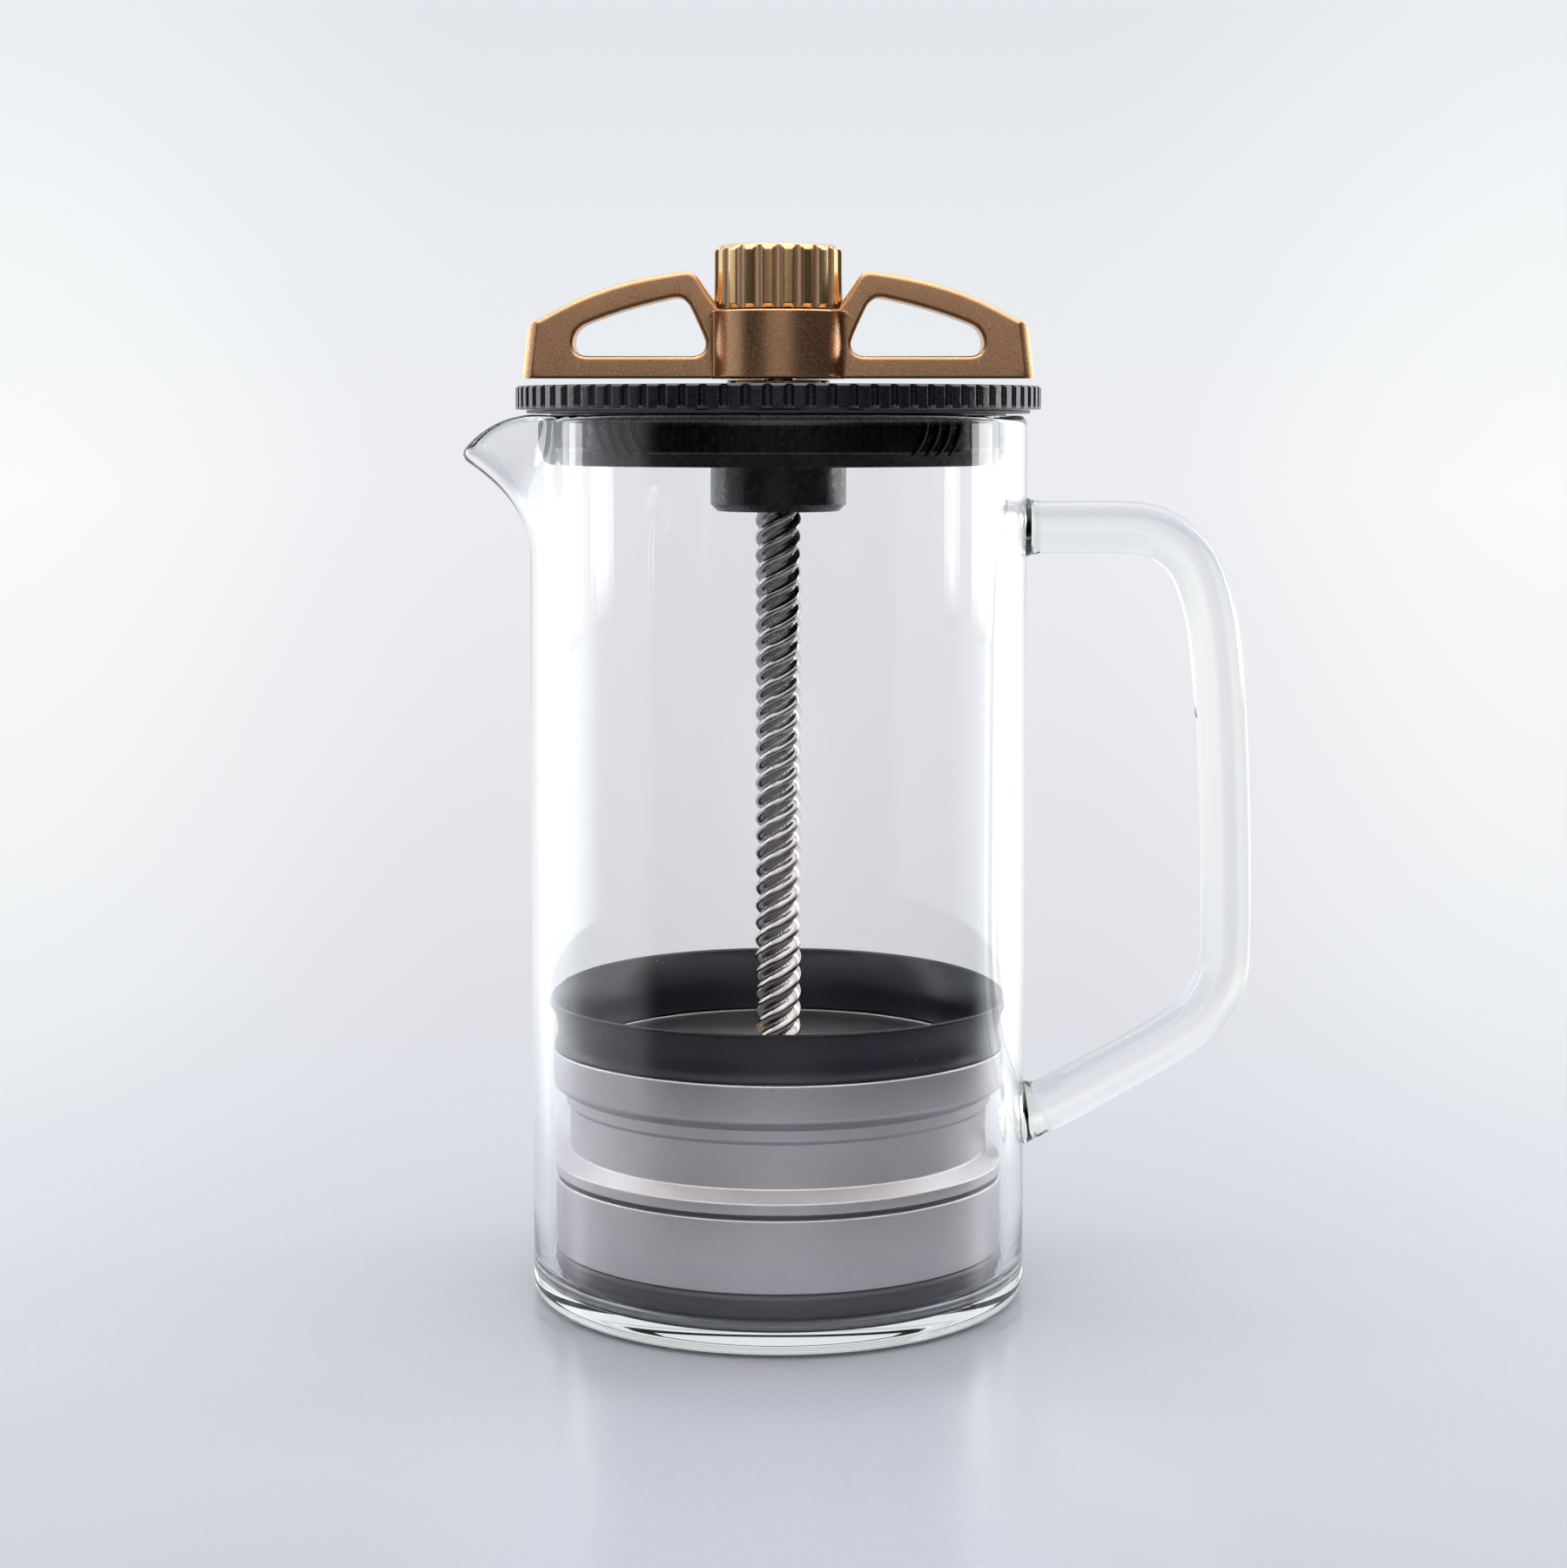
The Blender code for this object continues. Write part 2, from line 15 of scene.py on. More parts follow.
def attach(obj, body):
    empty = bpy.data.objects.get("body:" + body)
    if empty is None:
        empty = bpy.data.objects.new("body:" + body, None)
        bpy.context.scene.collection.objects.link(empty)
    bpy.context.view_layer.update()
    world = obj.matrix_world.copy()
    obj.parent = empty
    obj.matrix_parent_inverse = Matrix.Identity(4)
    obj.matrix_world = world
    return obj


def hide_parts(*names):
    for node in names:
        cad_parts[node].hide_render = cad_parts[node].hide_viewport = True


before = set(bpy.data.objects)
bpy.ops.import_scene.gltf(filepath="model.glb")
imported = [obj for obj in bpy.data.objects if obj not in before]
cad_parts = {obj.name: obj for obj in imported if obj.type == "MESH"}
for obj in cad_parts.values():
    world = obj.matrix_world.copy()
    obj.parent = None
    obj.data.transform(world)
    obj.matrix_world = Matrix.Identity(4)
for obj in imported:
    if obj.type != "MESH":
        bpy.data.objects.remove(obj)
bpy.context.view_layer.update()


MM = 0.001
TAU = 2.0 * math.pi
SCENE = bpy.context.scene

# =====================================================================
# Small geometry helpers
# =====================================================================


def rounded(points, closed=True, seg=5, default=0.25):
    """Corners turned into arcs. A point is (x, y) or (x, y, radius); None takes the largest that fits."""
    n = len(points)
    out = []
    for i, p in enumerate(points):
        r = p[2] if len(p) > 2 else default
        if not closed and i in (0, n - 1):
            out.append((p[0], p[1]))
            continue
        p0, p2 = points[i - 1], points[(i + 1) % n]
        c = np.array(p[:2], float)
        a, b = np.array(p0[:2], float) - c, np.array(p2[:2], float) - c
        la, lb = float(np.hypot(*a)), float(np.hypot(*b))
        a, b = a / la, b / lb
        ang = math.acos(max(-1.0, min(1.0, float(a @ b))))
        if r == 0 or ang > math.pi - 0.01:
            out.append((p[0], p[1]))
            continue
        cut = 0.48 * min(la, lb)
        if r is not None:
            cut = min(cut, r / math.tan(ang / 2))
        rad = cut * math.tan(ang / 2)
        mid = a + b
        centre = c + mid / np.hypot(*mid) * (rad / math.sin(ang / 2))
        s, e = c + a * cut - centre, c + b * cut - centre
        sweep = math.pi - ang
        k = max(2, int(math.ceil(sweep / (math.pi / 2) * seg)) + 1)
        for j in range(k + 1):
            t = j / k
            w = (math.sin((1 - t) * sweep) * s + math.sin(t * sweep) * e) / math.sin(sweep)
            out.append((float(centre[0] + w[0]), float(centre[1] + w[1])))
    return out


def split(points, longest, closed=True):
    """The same outline with extra points so that no step is longer than that."""
    out = []
    n = len(points)
    for i in range(n if closed else n - 1):
        a, b = points[i], points[(i + 1) % n]
        k = max(1, int(math.ceil(math.dist(a, b) / longest)))
        out += [(a[0] + (b[0] - a[0]) * j / k, a[1] + (b[1] - a[1]) * j / k) for j in range(k)]
    if not closed:
        out.append(tuple(points[-1]))
    return out


def shade(me, angle):
    me.shade_smooth()
    me.set_sharp_from_angle(angle=math.radians(angle))


def to_mesh(name, verts, faces, angle=32.0, weld=1.5e-6):
    me = bpy.data.meshes.new(name)
    me.from_pydata([tuple(v) for v in verts], [], faces)
    bm = bmesh.new()
    bm.from_mesh(me)
    bmesh.ops.remove_doubles(bm, verts=bm.verts, dist=weld)
    bmesh.ops.recalc_face_normals(bm, faces=bm.faces)
    bm.to_mesh(me)
    bm.free()
    shade(me, angle)
    return me


def grid(rows, closed):
    """Quads between rings of equal length; rings wrap round, and the last joins the first if closed."""
    m, n = rows.shape[:2]
    i = np.arange(m if closed else m - 1)[:, None]
    j = np.arange(n)[None, :]
    a = i * n + j
    b = i * n + (j + 1) % n
    c = ((i + 1) % m) * n + (j + 1) % n
    d = ((i + 1) % m) * n + j
    return np.stack(np.broadcast_arrays(a, b, c, d), -1).reshape(-1, 4).tolist()


def lathe(name, points, sides=160, closed=True, shape=None, angle=32.0):
    """A profile of (radius, height) spun about Z. shape(r, a, z) may move every point; a is from +X."""
    angles = np.asarray(sides, float) if not isinstance(sides, int) else np.arange(sides) * TAU / sides
    p = np.array(points, float)
    r, a = np.meshgrid(p[:, 0], angles, indexing="ij")
    z = np.repeat(p[:, 1][:, None], len(angles), 1)
    if shape is not None:
        r, a, z = shape(r, a, z)
    v = np.stack([r * np.cos(a), r * np.sin(a), z], -1) * MM
    return to_mesh(name, v.reshape(-1, 3), grid(v, closed), angle)


def ring_solid(name, loops, low, high, axis, angle=32.0):
    """A flat outline with holes, made solid between two levels, its rims rounded.

    loops: (points, side, radii): side +1 where the material is left of the way round, -1 where it
    is right of it; radii is one number or one per point. axis "Y" puts the outline in XZ."""
    verts, faces = [], []
    for_caps = []
    for pts, side, radii in loops:
        p = np.array(pts, float)
        n = len(p)
        rad = np.broadcast_to(np.asarray(radii, float), (n,))
        e = np.roll(p, -1, 0) - p
        e /= np.linalg.norm(e, axis=1)[:, None]
        en = np.stack([-e[:, 1], e[:, 0]], 1) * side
        nn = en + np.roll(en, 1, 0)
        nn /= np.maximum(1e-9, (nn * nn).sum(1) / 2.0)[:, None]
        rows = []
        K = 7
        for k in range(K + 1):
            t = k / K * math.pi / 2
            rows.append((p + nn * (rad * (1 - math.sin(t)))[:, None], low + rad * (1 - math.cos(t))))
        for k in range(K + 1):
            t = (1 - k / K) * math.pi / 2
            rows.append((p + nn * (rad * (1 - math.sin(t)))[:, None], high - rad * (1 - math.cos(t))))
        base = len(verts)
        for q, h in rows:
            for (x, y), hh in zip(q, h):
                verts.append((x, hh, y) if axis == "Y" else (x, y, hh))
        m = len(rows)
        for i in range(m - 1):
            for j in range(n):
                k = (j + 1) % n
                faces.append((base + i * n + j, base + i * n + k, base + (i + 1) * n + k, base + (i + 1) * n + j))
        for_caps.append((base, base + (m - 1) * n, rows[0][0], n))
    flat, index, ring = [], [], []
    for b0, b1, q, n in for_caps:
        ring += [(len(flat) + j, len(flat) + (j + 1) % n) for j in range(n)]
        flat += [Vector((x, y)) for x, y in q]
        index += [(b0 + j, b1 + j) for j in range(n)]
    seg = np.array([(*flat[a], *flat[b]) for a, b in ring])
    out = delaunay_2d_cdt(flat, ring, [], 0, 1e-7)
    for tri in out[2]:
        cx_, cy_ = (sum(out[0][t][k] for t in tri) / 3.0 for k in (0, 1))
        hit = (seg[:, 1] > cy_) != (seg[:, 3] > cy_)
        t_ = (cy_ - seg[:, 1]) / np.where(hit, seg[:, 3] - seg[:, 1], 1.0)
        if (hit & (cx_ < seg[:, 0] + t_ * (seg[:, 2] - seg[:, 0]))).sum() % 2:
            ids = [out[3][t][0] for t in tri]
            faces.append(tuple(index[t][0] for t in ids))
            faces.append(tuple(index[t][1] for t in ids))
    v = np.array(verts) * MM
    return to_mesh(name, v, faces, angle)


def tube(name, centres, radii, sides=48, angle=40.0):
    """A round bar along points in the XZ plane."""
    c = np.array(centres, float)
    t = np.gradient(c, axis=0)
    t /= np.linalg.norm(t, axis=1)[:, None]
    nrm = np.stack([-t[:, 1], t[:, 0]], 1)
    a = np.arange(sides) * TAU / sides
    rad = np.array(radii, float)[:, None]
    x = c[:, 0:1] + nrm[:, 0:1] * rad * np.cos(a)
    z = c[:, 1:2] + nrm[:, 1:2] * rad * np.cos(a)
    y = rad * np.sin(a) + 0 * x
    v = np.stack([x, y, z], -1) * MM
    faces = grid(v, False)
    n, m = sides, len(c)
    faces.append(list(range(n)))
    faces.append([(m - 1) * n + j for j in range(n)])
    return to_mesh(name, v.reshape(-1, 3), faces, angle)


def piece(name, mesh, mat, body, nodes):
    ob = bpy.data.objects.new(name, mesh)
    SCENE.collection.objects.link(ob)
    mesh.materials.clear()
    mesh.materials.append(mat)
    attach(ob, body)
    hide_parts(*nodes)
    return ob


def combine(mesh, steps, angle=32.0):
    """Booleans between meshes, done in millimetres: steps are (operation, mesh). Gives a new mesh."""
    up = Matrix.Scale(1.0 / MM, 4)
    mesh.transform(up)
    ob = bpy.data.objects.new("work", mesh)
    SCENE.collection.objects.link(ob)
    others = []
    for op, other in steps:
        other.transform(up)
        o2 = bpy.data.objects.new("tool", other)
        SCENE.collection.objects.link(o2)
        others.append(o2)
        mod = ob.modifiers.new(op, "BOOLEAN")
        mod.operation = op
        mod.solver = "EXACT"
        mod.object = o2
    deps = bpy.context.evaluated_depsgraph_get()
    deps.update()
    me = bpy.data.meshes.new_from_object(ob.evaluated_get(deps), depsgraph=deps)
    name = mesh.name
    for o in [ob] + others:
        m = o.data
        bpy.data.objects.remove(o, do_unlink=True)
        bpy.data.meshes.remove(m)
    me.name = name
    bm = bmesh.new()
    bm.from_mesh(me)
    bmesh.ops.remove_doubles(bm, verts=bm.verts, dist=2e-4)
    bmesh.ops.dissolve_degenerate(bm, dist=1e-4, edges=bm.edges)
    bmesh.ops.scale(bm, vec=(MM, MM, MM), verts=bm.verts)
    bmesh.ops.recalc_face_normals(bm, faces=bm.faces)
    bm.to_mesh(me)
    bm.free()
    shade(me, angle)
    return me


def smoothstep(x, a, b):
    t = np.clip((x - a) / (b - a), 0.0, 1.0)
    return t * t * (3 - 2 * t)


def pillars(name, rows, sides=32):
    """Upright round bars: rows of (x, y, z0, z1, radius)."""
    bm = bmesh.new()
    for x, y, z0, z1, r in rows:
        low = [bm.verts.new(((x + r * math.cos(TAU * i / sides)) * MM,
                             (y + r * math.sin(TAU * i / sides)) * MM, z0 * MM)) for i in range(sides)]
        high = [bm.verts.new((v.co.x, v.co.y, z1 * MM)) for v in low]
        for i in range(sides):
            j = (i + 1) % sides
            bm.faces.new((low[i], low[j], high[j], high[i]))
        bm.faces.new(list(reversed(low)))
        bm.faces.new(high)
    me = bpy.data.meshes.new(name)
    bm.to_mesh(me)
    bm.free()
    return me


# =====================================================================
# Materials
# =====================================================================


def srgb(r, g, b):
    return tuple(c / 12.92 if c <= 0.04045 else ((c + 0.055) / 1.055) ** 2.4
                 for c in (r / 255.0, g / 255.0, b / 255.0)) + (1.0,)


class Mat:
    """A Principled material and short ways to add nodes to it."""

    def __init__(self, name, colour, rough, metal=0.0, ior=1.5, specular=0.5):
        self.m = bpy.data.materials.new(name)
        self.m.use_nodes = True
        self.t = self.m.node_tree
        self.b = self.t.nodes["Principled BSDF"]
        self.b.inputs["Base Color"].default_value = (*colour, 1.0)
        self.b.inputs["Roughness"].default_value = rough
        self.b.inputs["Metallic"].default_value = metal
        self.b.inputs["IOR"].default_value = ior
        self.b.inputs["Specular IOR Level"].default_value = specular
        self.colour, self.rough = (*colour, 1.0), rough
        self.height = None
        self.pos = self.node("ShaderNodeTexCoord").outputs["Object"]

    def node(self, kind, **values):
        n = self.t.nodes.new(kind)
        for k, v in values.items():
            setattr(n, k, v)
        return n

    def put(self, n, key, value):
        if isinstance(value, bpy.types.NodeSocket):
            self.t.links.new(value, n.inputs[key])
        else:
            n.inputs[key].default_value = value

    def math(self, op, a, b=0.0, c=None, clamp=False):
        n = self.node("ShaderNodeMath", operation=op, use_clamp=clamp)
        self.put(n, 0, a)
        self.put(n, 1, b)
        if c is not None:
            self.put(n, 2, c)
        return n.outputs[0]

    def stretch(self, x, y, z, source=None):
        n = self.node("ShaderNodeMapping")
        self.put(n, "Vector", source or self.pos)
        n.inputs["Scale"].default_value = (x, y, z)
        return n.outputs[0]

    def noise(self, scale, detail=2.0, rough=0.5, vector=None, distort=0.0):
        n = self.node("ShaderNodeTexNoise")
        self.put(n, "Vector", vector or self.pos)
        n.inputs["Scale"].default_value = scale
        n.inputs["Detail"].default_value = detail
        n.inputs["Roughness"].default_value = rough
        n.inputs["Distortion"].default_value = distort
        return n.outputs["Fac"]

    def cells(self, scale, vector=None, feature="F1"):
        n = self.node("ShaderNodeTexVoronoi", feature=feature)
        self.put(n, "Vector", vector or self.pos)
        n.inputs["Scale"].default_value = scale
        return n

    def ramp(self, fac, lo, hi, a=0.0, b=1.0):
        n = self.node("ShaderNodeMapRange", clamp=True)
        self.put(n, "Value", fac)
        for key, v in zip(("From Min", "From Max", "To Min", "To Max"), (lo, hi, a, b)):
            self.put(n, key, v)
        return n.outputs["Result"]

    def mix(self, fac, a, b):
        n = self.node("ShaderNodeMix", data_type="RGBA")
        self.put(n, "Factor", fac)
        self.put(n, 6, a)
        self.put(n, 7, b)
        return n.outputs[2]

    def radius(self):
        """Distance from the Z axis, in metres."""
        s = self.node("ShaderNodeSeparateXYZ")
        self.put(s, 0, self.pos)
        x2 = self.math("MULTIPLY", s.outputs[0], s.outputs[0])
        y2 = self.math("MULTIPLY", s.outputs[1], s.outputs[1])
        return self.math("SQRT", self.math("ADD", x2, y2)), s

    def set(self, key, value):
        self.put(self.b, key, value)

    def bump(self, height, distance, strength=1.0):
        n = self.node("ShaderNodeBump")
        n.inputs["Strength"].default_value = strength
        n.inputs["Distance"].default_value = distance
        self.put(n, "Height", height)
        if self.height is not None:
            self.put(n, "Normal", self.height)
        self.height = n.outputs["Normal"]
        self.put(self.b, "Normal", self.height)


def blasted(name, dark, light, spark, rough, grain=4200.0, depth=0.000012, spread=0.14):
    """Bead-blasted metal: fine grain in height, tone and gloss, with scattered glints."""
    m = Mat(name, light, rough, 1.0)
    fine = m.noise(grain, 2.0, 0.6)
    broad = m.noise(95.0, 3.0, 0.55)
    tone = m.math("ADD", m.math("MULTIPLY", m.ramp(fine, 0.3, 0.7), 0.7),
                  m.math("MULTIPLY", m.ramp(broad, 0.3, 0.7), 0.3))
    base = m.mix(tone, (*dark, 1.0), (*light, 1.0))
    pits = m.cells(2600.0)
    glint = m.ramp(m.noise(3800.0, 1.0, 0.5), 0.68, 0.75)
    m.set("Base Color", m.mix(glint, base, (*spark, 1.0)))
    m.set("Roughness", m.ramp(m.noise(grain * 0.5, 2.0), 0.25, 0.75, rough - spread / 2, rough + spread / 2))
    m.bump(m.math("ADD", fine, m.math("MULTIPLY", pits.outputs["Distance"], 0.35)), depth)
    return m.m


def make_glass():
    m = Mat("clear_glass", (0.997, 0.999, 0.998), 0.0, 0.0, 1.474)
    m.set("Transmission Weight", 1.0)
    s = m.node("ShaderNodeSeparateXYZ")
    m.put(s, 0, m.pos)
    x, z = s.outputs[0], s.outputs[2]
    # the two welds of the rod handle are a little green
    high = m.math("MULTIPLY", m.ramp(x, 0.0459, 0.0463), m.ramp(x, 0.0475, 0.0469))
    high = m.math("MULTIPLY", high, m.ramp(z, 0.110, 0.112))
    low = m.math("MULTIPLY", m.ramp(x, 0.0449, 0.0453), m.ramp(x, 0.0472, 0.0462))
    low = m.math("MULTIPLY", low, m.ramp(z, 0.060, 0.058))
    weld = m.math("ADD", high, low)
    swirl = m.ramp(m.noise(420.0, 2.0, 0.5), 0.35, 0.65, 0.55, 1.0)
    tinted = m.mix(m.math("MULTIPLY", weld, swirl, clamp=True), (0.997, 0.999, 0.998, 1.0),
                   (0.86, 0.945, 0.84, 1.0))
    # the thick foot and its rim gather the colour of the melt
    foot = m.ramp(z, 0.0046, 0.0002)
    m.set("Base Color", m.mix(m.math("MULTIPLY", foot, 0.5), tinted, (0.86, 0.965, 0.92, 1.0)))
    m.bump(m.noise(22.0, 1.0, 0.4, m.stretch(1.0, 1.0, 0.3)), 0.00005)
    return m.m


def make_plastic(name, colour, rough, grain, depth, specular=0.5, swirl=False, sheen=0.0):
    m = Mat(name, colour, rough, 0.0, 1.5, specular)
    m.set("Sheen Weight", sheen)
    m.set("Sheen Roughness", 0.3)
    m.set("Sheen Tint", (0.80, 0.90, 1.0, 1.0))
    g = m.noise(grain, 3.0, 0.62)
    c = m.cells(grain * 0.55)
    height = m.math("ADD", g, m.math("MULTIPLY", c.outputs["Distance"], 0.6))
    lighter = tuple(min(1.0, v * 1.9 + 0.0006) for v in colour)
    m.set("Base Color", m.mix(m.ramp(height, 0.35, 1.0), (*colour, 1.0), (*lighter, 1.0)))
    m.set("Roughness", m.ramp(m.noise(grain * 0.3, 2.0), 0.3, 0.7, rough - 0.06, rough + 0.08))
    m.bump(height, depth)
    if swirl:
        rad, s = m.radius()
        n = m.node("ShaderNodeCombineXYZ")
        m.put(n, 0, rad)
        m.put(n, 1, m.math("MULTIPLY", s.outputs[2], 0.25))
        m.bump(m.noise(5200.0, 2.0, 0.6, n.outputs[0], 0.6), depth * 0.8)
    return m.m


def make_silicone(name, colour, rough):
    m = Mat(name, colour, rough, 0.0, 1.45, 0.5)
    cloud = m.noise(150.0, 3.0, 0.6)
    # a little dust sits on it: short fibres and specks
    spot = m.cells(420.0)
    rare = m.ramp(m.noise(420.0, 0.0), 0.63, 0.66)
    speck = m.math("MULTIPLY", m.ramp(spot.outputs["Distance"], 0.085, 0.04), rare)
    base = m.mix(m.ramp(cloud, 0.3, 0.7), (*colour, 1.0), (*(c * 1.25 for c in colour), 1.0))
    m.set("Base Color", m.mix(m.math("MULTIPLY", speck, 0.7), base, (0.30, 0.27, 0.24, 1.0)))
    m.set("Roughness", m.math("ADD", m.ramp(cloud, 0.3, 0.7, rough - 0.04, rough + 0.05),
                              m.math("MULTIPLY", speck, 0.3)))
    m.bump(m.noise(1800.0, 2.0, 0.5), 0.000004)
    return m.m


def make_turned(name, colour, rough, pitch=3600.0, depth=0.000006):
    """Lathe-turned metal: fine rings about the axis."""
    m = Mat(name, colour, rough, 1.0)
    rad, s = m.radius()
    n = m.node("ShaderNodeCombineXYZ")
    m.put(n, 0, rad)
    rings = m.noise(pitch, 3.0, 0.6, n.outputs[0])
    dark = tuple(c * 0.82 for c in colour)
    m.set("Base Color", m.mix(m.ramp(rings, 0.3, 0.7), (*dark, 1.0), (*colour, 1.0)))
    m.set("Roughness", m.ramp(rings, 0.3, 0.7, rough - 0.05, rough + 0.07))
    m.bump(rings, depth)
    return m.m


def make_steel():
    m = Mat("polished_steel", (0.40, 0.385, 0.38), 0.13, 1.0)
    drawn = m.noise(2600.0, 2.0, 0.6, m.stretch(1.0, 1.0, 0.18))
    stain = m.noise(240.0, 3.0, 0.6)
    m.set("Base Color", m.mix(m.ramp(stain, 0.35, 0.7), (0.31, 0.30, 0.30, 1.0), (0.44, 0.425, 0.42, 1.0)))
    m.set("Roughness", m.ramp(drawn, 0.3, 0.75, 0.08, 0.18))
    m.bump(drawn, 0.000003)
    return m.m


def make_brass():
    m = Mat("satin_brass", (0.62, 0.41, 0.20), 0.28, 1.0)
    fine = m.noise(3000.0, 2.0, 0.6)
    broad = m.noise(160.0, 3.0, 0.6)
    spots = m.ramp(m.noise(2100.0, 1.0), 0.70, 0.77)
    base = m.mix(m.ramp(broad, 0.35, 0.65), (0.52, 0.34, 0.165, 1.0), (0.66, 0.44, 0.225, 1.0))
    m.set("Base Color", m.mix(spots, base, (0.88, 0.66, 0.38, 1.0)))
    m.set("Roughness", m.ramp(fine, 0.3, 0.7, 0.24, 0.33))
    m.bump(fine, 0.0000022)
    return m.m


def make_screen():
    """Woven or punched screen: a fine square mesh in height and tone, its holes painted near black as painted shade."""
    m = Mat("filter_mesh", (0.52, 0.52, 0.53), 0.32, 1.0)
    s = m.node("ShaderNodeSeparateXYZ")
    m.put(s, 0, m.pos)
    wx = m.math("SINE", m.math("MULTIPLY", s.outputs[0], TAU / 0.0006))
    wy = m.math("SINE", m.math("MULTIPLY", s.outputs[1], TAU / 0.0006))
    h = m.math("MAXIMUM", wx, wy)
    # the holes are painted near black: painted shade
    hole_shade = m.ramp(h, 0.15, -0.25)
    m.set("Base Color", m.mix(hole_shade, (0.52, 0.52, 0.53, 1.0), (0.02, 0.02, 0.02, 1.0)))
    m.set("Roughness", m.ramp(hole_shade, 0.0, 1.0, 0.3, 0.8))
    m.bump(h, 0.00008)
    return m.m


GLASS = make_glass()
BRONZE = blasted("blasted_bronze", (0.42, 0.24, 0.126), (0.605, 0.352, 0.188), (1.0, 0.83, 0.60), 0.26, grain=6500.0,
                 depth=0.000007)
BRASS = make_brass()
STEEL = make_steel()
SILVER = blasted("blasted_silver", (0.53, 0.515, 0.53), (0.64, 0.625, 0.64), (0.78, 0.77, 0.78), 0.45,
                 grain=5200.0, depth=0.000008, spread=0.08)
PLATE = make_turned("turned_plate", (0.46, 0.44, 0.445), 0.30)
CAPMAT = make_plastic("grained_plastic", (0.0022, 0.0026, 0.0044), 0.22, 3400.0, 0.00004, specular=0.50, sheen=0.16)
HOUSING = make_plastic("turned_plastic", (0.003, 0.0035, 0.0055), 0.25, 2400.0, 0.000014, specular=0.7, swirl=True,
                       sheen=0.35)
SILICONE = make_silicone("silicone", (0.004, 0.007, 0.0155), 0.33)
MESH = make_screen()

# =====================================================================
# Beaker: turned glass with a drawn spout, and the bent rod fused on
# =====================================================================
R_OUT, R_IN, RIM = 45.0, 42.1, 160.0
HALF, SZ0, REACH, DROP = math.radians(28.0), 133.0, 12.75, 7.5


def spout(r, a, z):
    phi = a % TAU - math.pi
    b = np.where(np.abs(phi) < HALF, np.cos(0.5 * math.pi * np.clip(phi, -HALF, HALF) / HALF) ** 2, 0.0)
    s = np.clip((z - SZ0) / (RIM - SZ0), 0.0, None)
    b = np.where((r > R_IN - 1.0) & (z > SZ0), b, 0.0)
    reach = REACH * b * s ** 2.4
    drop = DROP * b ** 2.2 * s
    lean = np.arctan2(REACH * b * 2.4 * s ** 1.4, (RIM - SZ0) - DROP * b ** 2.2)
    depth = R_OUT - r
    return (np.where(b > 0, R_OUT + reach - depth * np.cos(lean), r), a,
            np.where(b > 0, z - drop + depth * np.sin(lean), z))


beaker_prof = rounded([(0.0, 3.2), (42.1, 3.2, 4.4), (42.1, 160.0, 1.35), (45.0, 160.0, 1.35),
                       (45.0, 0.0, 2.6), (39.5, 0.0, 0.5), (38.6, 0.35, 0.8), (0.0, 0.35)],
                      closed=False, seg=9)


def spout_rows(points):
    out = [points[0]]
    for a, b in zip(points, points[1:]):
        if a[0] == b[0] and abs(b[1] - a[1]) > 20:
            zs = [3.0 + 13.0 * i for i in range(11)] + [133 + i for i in range(28)]
            zs = [z for z in zs if min(a[1], b[1]) < z < max(a[1], b[1])]
            out += [(a[0], z) for z in (sorted(zs) if b[1] > a[1] else sorted(zs, reverse=True))]
        out.append(b)
    return out


side_angles = [math.radians(d) for d in range(360) if 149 <= d <= 211 or d % 2 == 0]
beaker = lathe("beaker", spout_rows(beaker_prof), side_angles, closed=False, angle=60.0, shape=spout)

route = [(45.4, 139.8), (54.0, 139.8), (62.7, 139.8), (69.0, 138.9), (75.0, 134.3), (78.2, 126.4),
         (79.7, 118.0), (80.8, 105.0), (81.5, 90.0), (81.8, 76.9), (81.9, 64.0), (81.1, 56.6),
         (76.9, 49.8), (70.0, 44.8), (58.0, 38.1), (51.0, 34.3)]


def spline(points, per=24):
    fine = []
    ext = [points[0]] + points + [points[-1]]
    for p0, p1, p2, p3 in zip(ext, ext[1:], ext[2:], ext[3:]):
        for k in range(per):
            t = k / per
            fine.append(tuple(0.5 * (2 * b + (c - a) * t + (2 * a - 5 * b + 4 * c - d) * t * t
                                     + (3 * b - a - 3 * c + d) * t ** 3)
                              for a, b, c, d in zip(p0, p1, p2, p3)))
    fine.append(tuple(points[-1]))
    return fine


def even(points, step):
    p = np.array(points, float)
    d = np.concatenate([[0.0], np.cumsum(np.linalg.norm(np.diff(p, axis=0), axis=1))])
    n = max(2, int(round(d[-1] / step)))
    s = np.linspace(0, d[-1], n + 1)
    return np.stack([np.interp(s, d, p[:, 0]), np.interp(s, d, p[:, 1])], 1)


body_path = even(spline([(43.7, 139.8)] + route + [(47.6, 32.75), (43.9, 32.2)]), 0.45)
# the bend is smoothed so that the rod shows no facets
for _ in range(30):
    body_path[1:-1] = 0.25 * body_path[:-2] + 0.5 * body_path[1:-1] + 0.25 * body_path[2:]
walk = np.concatenate([[0.0], np.cumsum(np.linalg.norm(np.diff(body_path, axis=0), axis=1))])
near, far = walk, walk[-1] - walk
rod_r = 4.79 + 0.95 * np.exp(-((near - 0.6) / 1.35) ** 2) + 1.15 * np.exp(-((far - 0.6) / 1.9) ** 2)
rod_r += 0.16 * np.exp(-((near - 3.0) / 0.35) ** 2) + 0.22 * np.exp(-((far - 3.1) / 0.6) ** 2)
rod = tube("rod", body_path, rod_r, sides=80, angle=60.0)
glass = combine(beaker, [("UNION", rod)], angle=50.0)
piece("beaker_glass", glass, GLASS, "beaker", ["beaker_body", "beaker_handle"])

